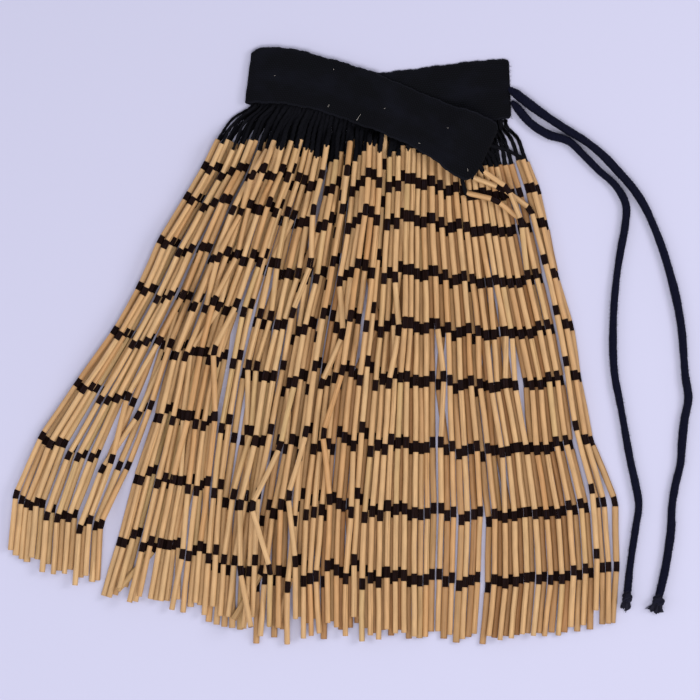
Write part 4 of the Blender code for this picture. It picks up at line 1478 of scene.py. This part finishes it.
# ---------------------------------------------------------------- dyed links
class PIUPIU_OT_comb_links(bpy.types.Operator):
    """Comb the bare dyed fibre between the tubes, eight links on each strand"""

    bl_idname = "piupiu.comb_links"
    bl_label = "Comb the links"

    def execute(self, context):
        wide = context.scene.piupiu_strands.link_width / MM
        fibre = dyed_fibre()
        for side, seed in (("back", 51), ("front", 52)):
            chance = random.Random(seed)
            bundle = Bundle()
            for strand in laid_skirt()[side].strands:
                for number in range(len(TUBE_LONG) - 1):
                    _, before, way = tube_line(strand, number)
                    after, _, next_way = tube_line(strand, number + 1)
                    inside, within = before - way * LINK_TUCK, after + next_way * LINK_TUCK
                    self.comb(bundle, chance, np.array([inside, before, after, within]), wide)
            bundle.make(f"links_{side}", fibre, "strands", f"fringe_{side}")
        return {"FINISHED"}

    def comb(self, bundle, chance, line, wide):
        """One link, as hanks of fibre side by side, drawn together where they enter tubes."""
        long = float(np.linalg.norm(line[2] - line[1]))
        near, full = np.array(LINK_MOUTH).T
        places = np.concatenate([near, np.array(LINK_MIDDLE) * long, long - near[::-1]])
        belly = np.concatenate([full, [1, 1], full[::-1]])
        at = lengths_along(line) - LINK_TUCK
        path = np.stack([np.interp(places, at, line[:, k]) for k in range(3)], axis=1)
        _, sideways, _ = ways(path)
        number, hue = chance.uniform(0, 60), chance.random()
        for hank in range(LINK_HANKS):
            out = (hank - (LINK_HANKS - 1) / 2) / LINK_HANKS * wide
            offset = out * (HANK_SPREAD[0] + HANK_SPREAD[1] * belly)
            offset += chance.uniform(-HANK_SWAY, HANK_SWAY) * belly
            middle = path + sideways * offset[:, None]
            middle[:, 2] += chance.uniform(-HANK_RISE, HANK_RISE) * belly
            half_wide = wide / LINK_HANKS * (HANK_WIDE[0] + HANK_WIDE[1] * belly)
            half_wide *= chance.uniform(*HANK_OWN_WIDE)
            half_high = HANK_HIGH[0] + HANK_HIGH[1] * belly
            halves = np.stack([half_wide, half_high], axis=1)[:, None]
            rings = swept(middle, circle(LINK_SIDES) * halves)
            rings[..., 2] = np.maximum(rings[..., 2], 0.02)
            around = np.arange(LINK_SIDES) * HANK_LIE
            lies = by_point(around, lengths_along(middle)[:, None], number + hank * 3)
            bundle.add_rings(rings, lies, (0.5, hue, 0.0))


# ---------------------------------------------------------------- lint and loose threads
# Specks and threads on the front half: where each lies, its length and the way it points.
Lint = namedtuple("Lint", "x y long turn")
LINT = (
    Lint(36.0, 203.5, 6.5, 55), Lint(9.5, 215.5, 3.0, 75), Lint(-14.4, 214.6, 1.4, 20),
    Lint(15.7, 250.2, 1.5, 120), Lint(92.7, 182.2, 1.6, 160), Lint(135.9, 157.0, 2.4, 80),
    Lint(60.0, 214.0, 1.0, 10), Lint(-38.0, 244.0, 1.0, 35), Lint(118.0, 196.0, 1.1, 140),
)


class PIUPIU_OT_add_lint(bpy.types.Operator):
    """Add stray lint, the band's fuzzy edge and the loose threads at its free end"""

    bl_idname = "piupiu.add_lint"
    bl_label = "Add lint and loose threads"

    def execute(self, context):
        looks = context.scene.piupiu_band
        chance = random.Random(61)
        face = band_surface()[0]
        lint, fuzz = Bundle(), Bundle()
        self.strew_lint(lint, chance, face[len(face) // 2 :].reshape(-1, 3))
        self.fray_edges(fuzz, chance, face)
        self.fray_end(fuzz, chance, laid_skirt()["band"][0])
        lint.make("band_lint", pale_lint(), "band")
        yarn = black_thread("Black yarn, frayed", looks.yarn, looks.yarn, FUZZ_FIBRE, 0.02)
        fuzz.make("band_fuzz", yarn, "band")
        return {"FINISHED"}

    def strew_lint(self, bundle, chance, front):
        """Specks and threads of lint on the front half."""
        for speck in LINT:
            near = np.hypot(front[:, 0] - speck.x, front[:, 1] - speck.y).argmin()
            angle = math.radians(speck.turn)
            way = (math.cos(angle), math.sin(angle), 0.05)
            add_fibre(bundle, chance, front[near] + UP * 0.3, way, speck.long, LINT_THICK, 1)

    def fray_edges(self, bundle, chance, face):
        """Short fibres that stand out along both long edges."""
        for number in range(FUZZ_FIBRES):
            row = face[chance.randrange(len(face))]
            edge, other = (row[-1], row[0]) if chance.random() < 0.5 else (row[0], row[-1])
            out = unit(edge - other)
            start = edge - out * FUZZ_FROM + UP * chance.uniform(-1.0, 1.0)
            start[2] = max(start[2], 0.2)
            sway = (chance.uniform(-1, 1), chance.uniform(-1, 1), chance.uniform(-0.4, 0.6))
            long = chance.uniform(*FUZZ_LONG)
            add_fibre(bundle, chance, start, out + np.array(sway), long, FUZZ_THICK, number)

    def fray_end(self, bundle, chance, end):
        """Loose threads at the free end, more of them low down."""
        for number in range(END_THREADS):
            share = chance.random() ** END_THREAD_LOW
            start = end[:3] * (1 - share) + end[3:6] * share
            start += np.array([-0.6, 0, chance.uniform(-1, 1)])
            way = (1.0, chance.uniform(-1.2, 0.6), chance.uniform(-0.2, 0.3))
            long = chance.uniform(*END_THREAD_LONG)
            add_fibre(bundle, chance, start, way, long, END_THREAD_THICK, number)


# ---------------------------------------------------------------- the band's rows
def declare_cloth():
    """Lay the skirt if it isn't laid yet and take the band's rows, which are not used."""
    rows = laid_skirt()["band"]


# ---------------------------------------------------------------- panel and registration
class PIUPIU_PT_panel(bpy.types.Panel):
    """The steps and settings of the skirt"""

    bl_idname = "PIUPIU_PT_panel"
    bl_label = "Piupiu"
    bl_space_type = "VIEW_3D"
    bl_region_type = "UI"
    bl_category = "Piupiu"

    def draw(self, context):
        for operator in OPERATORS:
            self.layout.operator(operator.bl_idname)
        for group, kind in SETTINGS.items():
            box = self.layout.box()
            for setting in kind.__annotations__:
                box.prop(getattr(context.scene, group), setting)


OPERATORS = (
    PIUPIU_OT_set_stage,
    PIUPIU_OT_tie_knots,
    PIUPIU_OT_lay_ties,
    PIUPIU_OT_weave_band,
    PIUPIU_OT_twist_strings,
    PIUPIU_OT_roll_tubes,
    PIUPIU_OT_comb_links,
    PIUPIU_OT_add_lint,
)
SETTINGS = {
    "piupiu_band": BandSettings,
    "piupiu_strands": StrandSettings,
    "piupiu_ties": TieSettings,
    "piupiu_stage": StageSettings,
}


def register():
    for group, kind in SETTINGS.items():
        bpy.utils.register_class(kind)
        setattr(bpy.types.Scene, group, bpy.props.PointerProperty(type=kind))
    for kind in (*OPERATORS, PIUPIU_PT_panel):
        bpy.utils.register_class(kind)


def unregister():
    for kind in (PIUPIU_PT_panel, *reversed(OPERATORS)):
        bpy.utils.unregister_class(kind)
    for group, kind in SETTINGS.items():
        delattr(bpy.types.Scene, group)
        bpy.utils.unregister_class(kind)


def main():
    register()
    bpy.ops.piupiu.set_stage()
    bpy.ops.piupiu.tie_knots()
    bpy.ops.piupiu.lay_ties()
    bpy.ops.piupiu.weave_band()
    bpy.ops.piupiu.twist_strings()
    bpy.ops.piupiu.roll_tubes()
    bpy.ops.piupiu.comb_links()
    bpy.ops.piupiu.add_lint()
    declare_cloth()


if __name__ == "__main__":
    main()
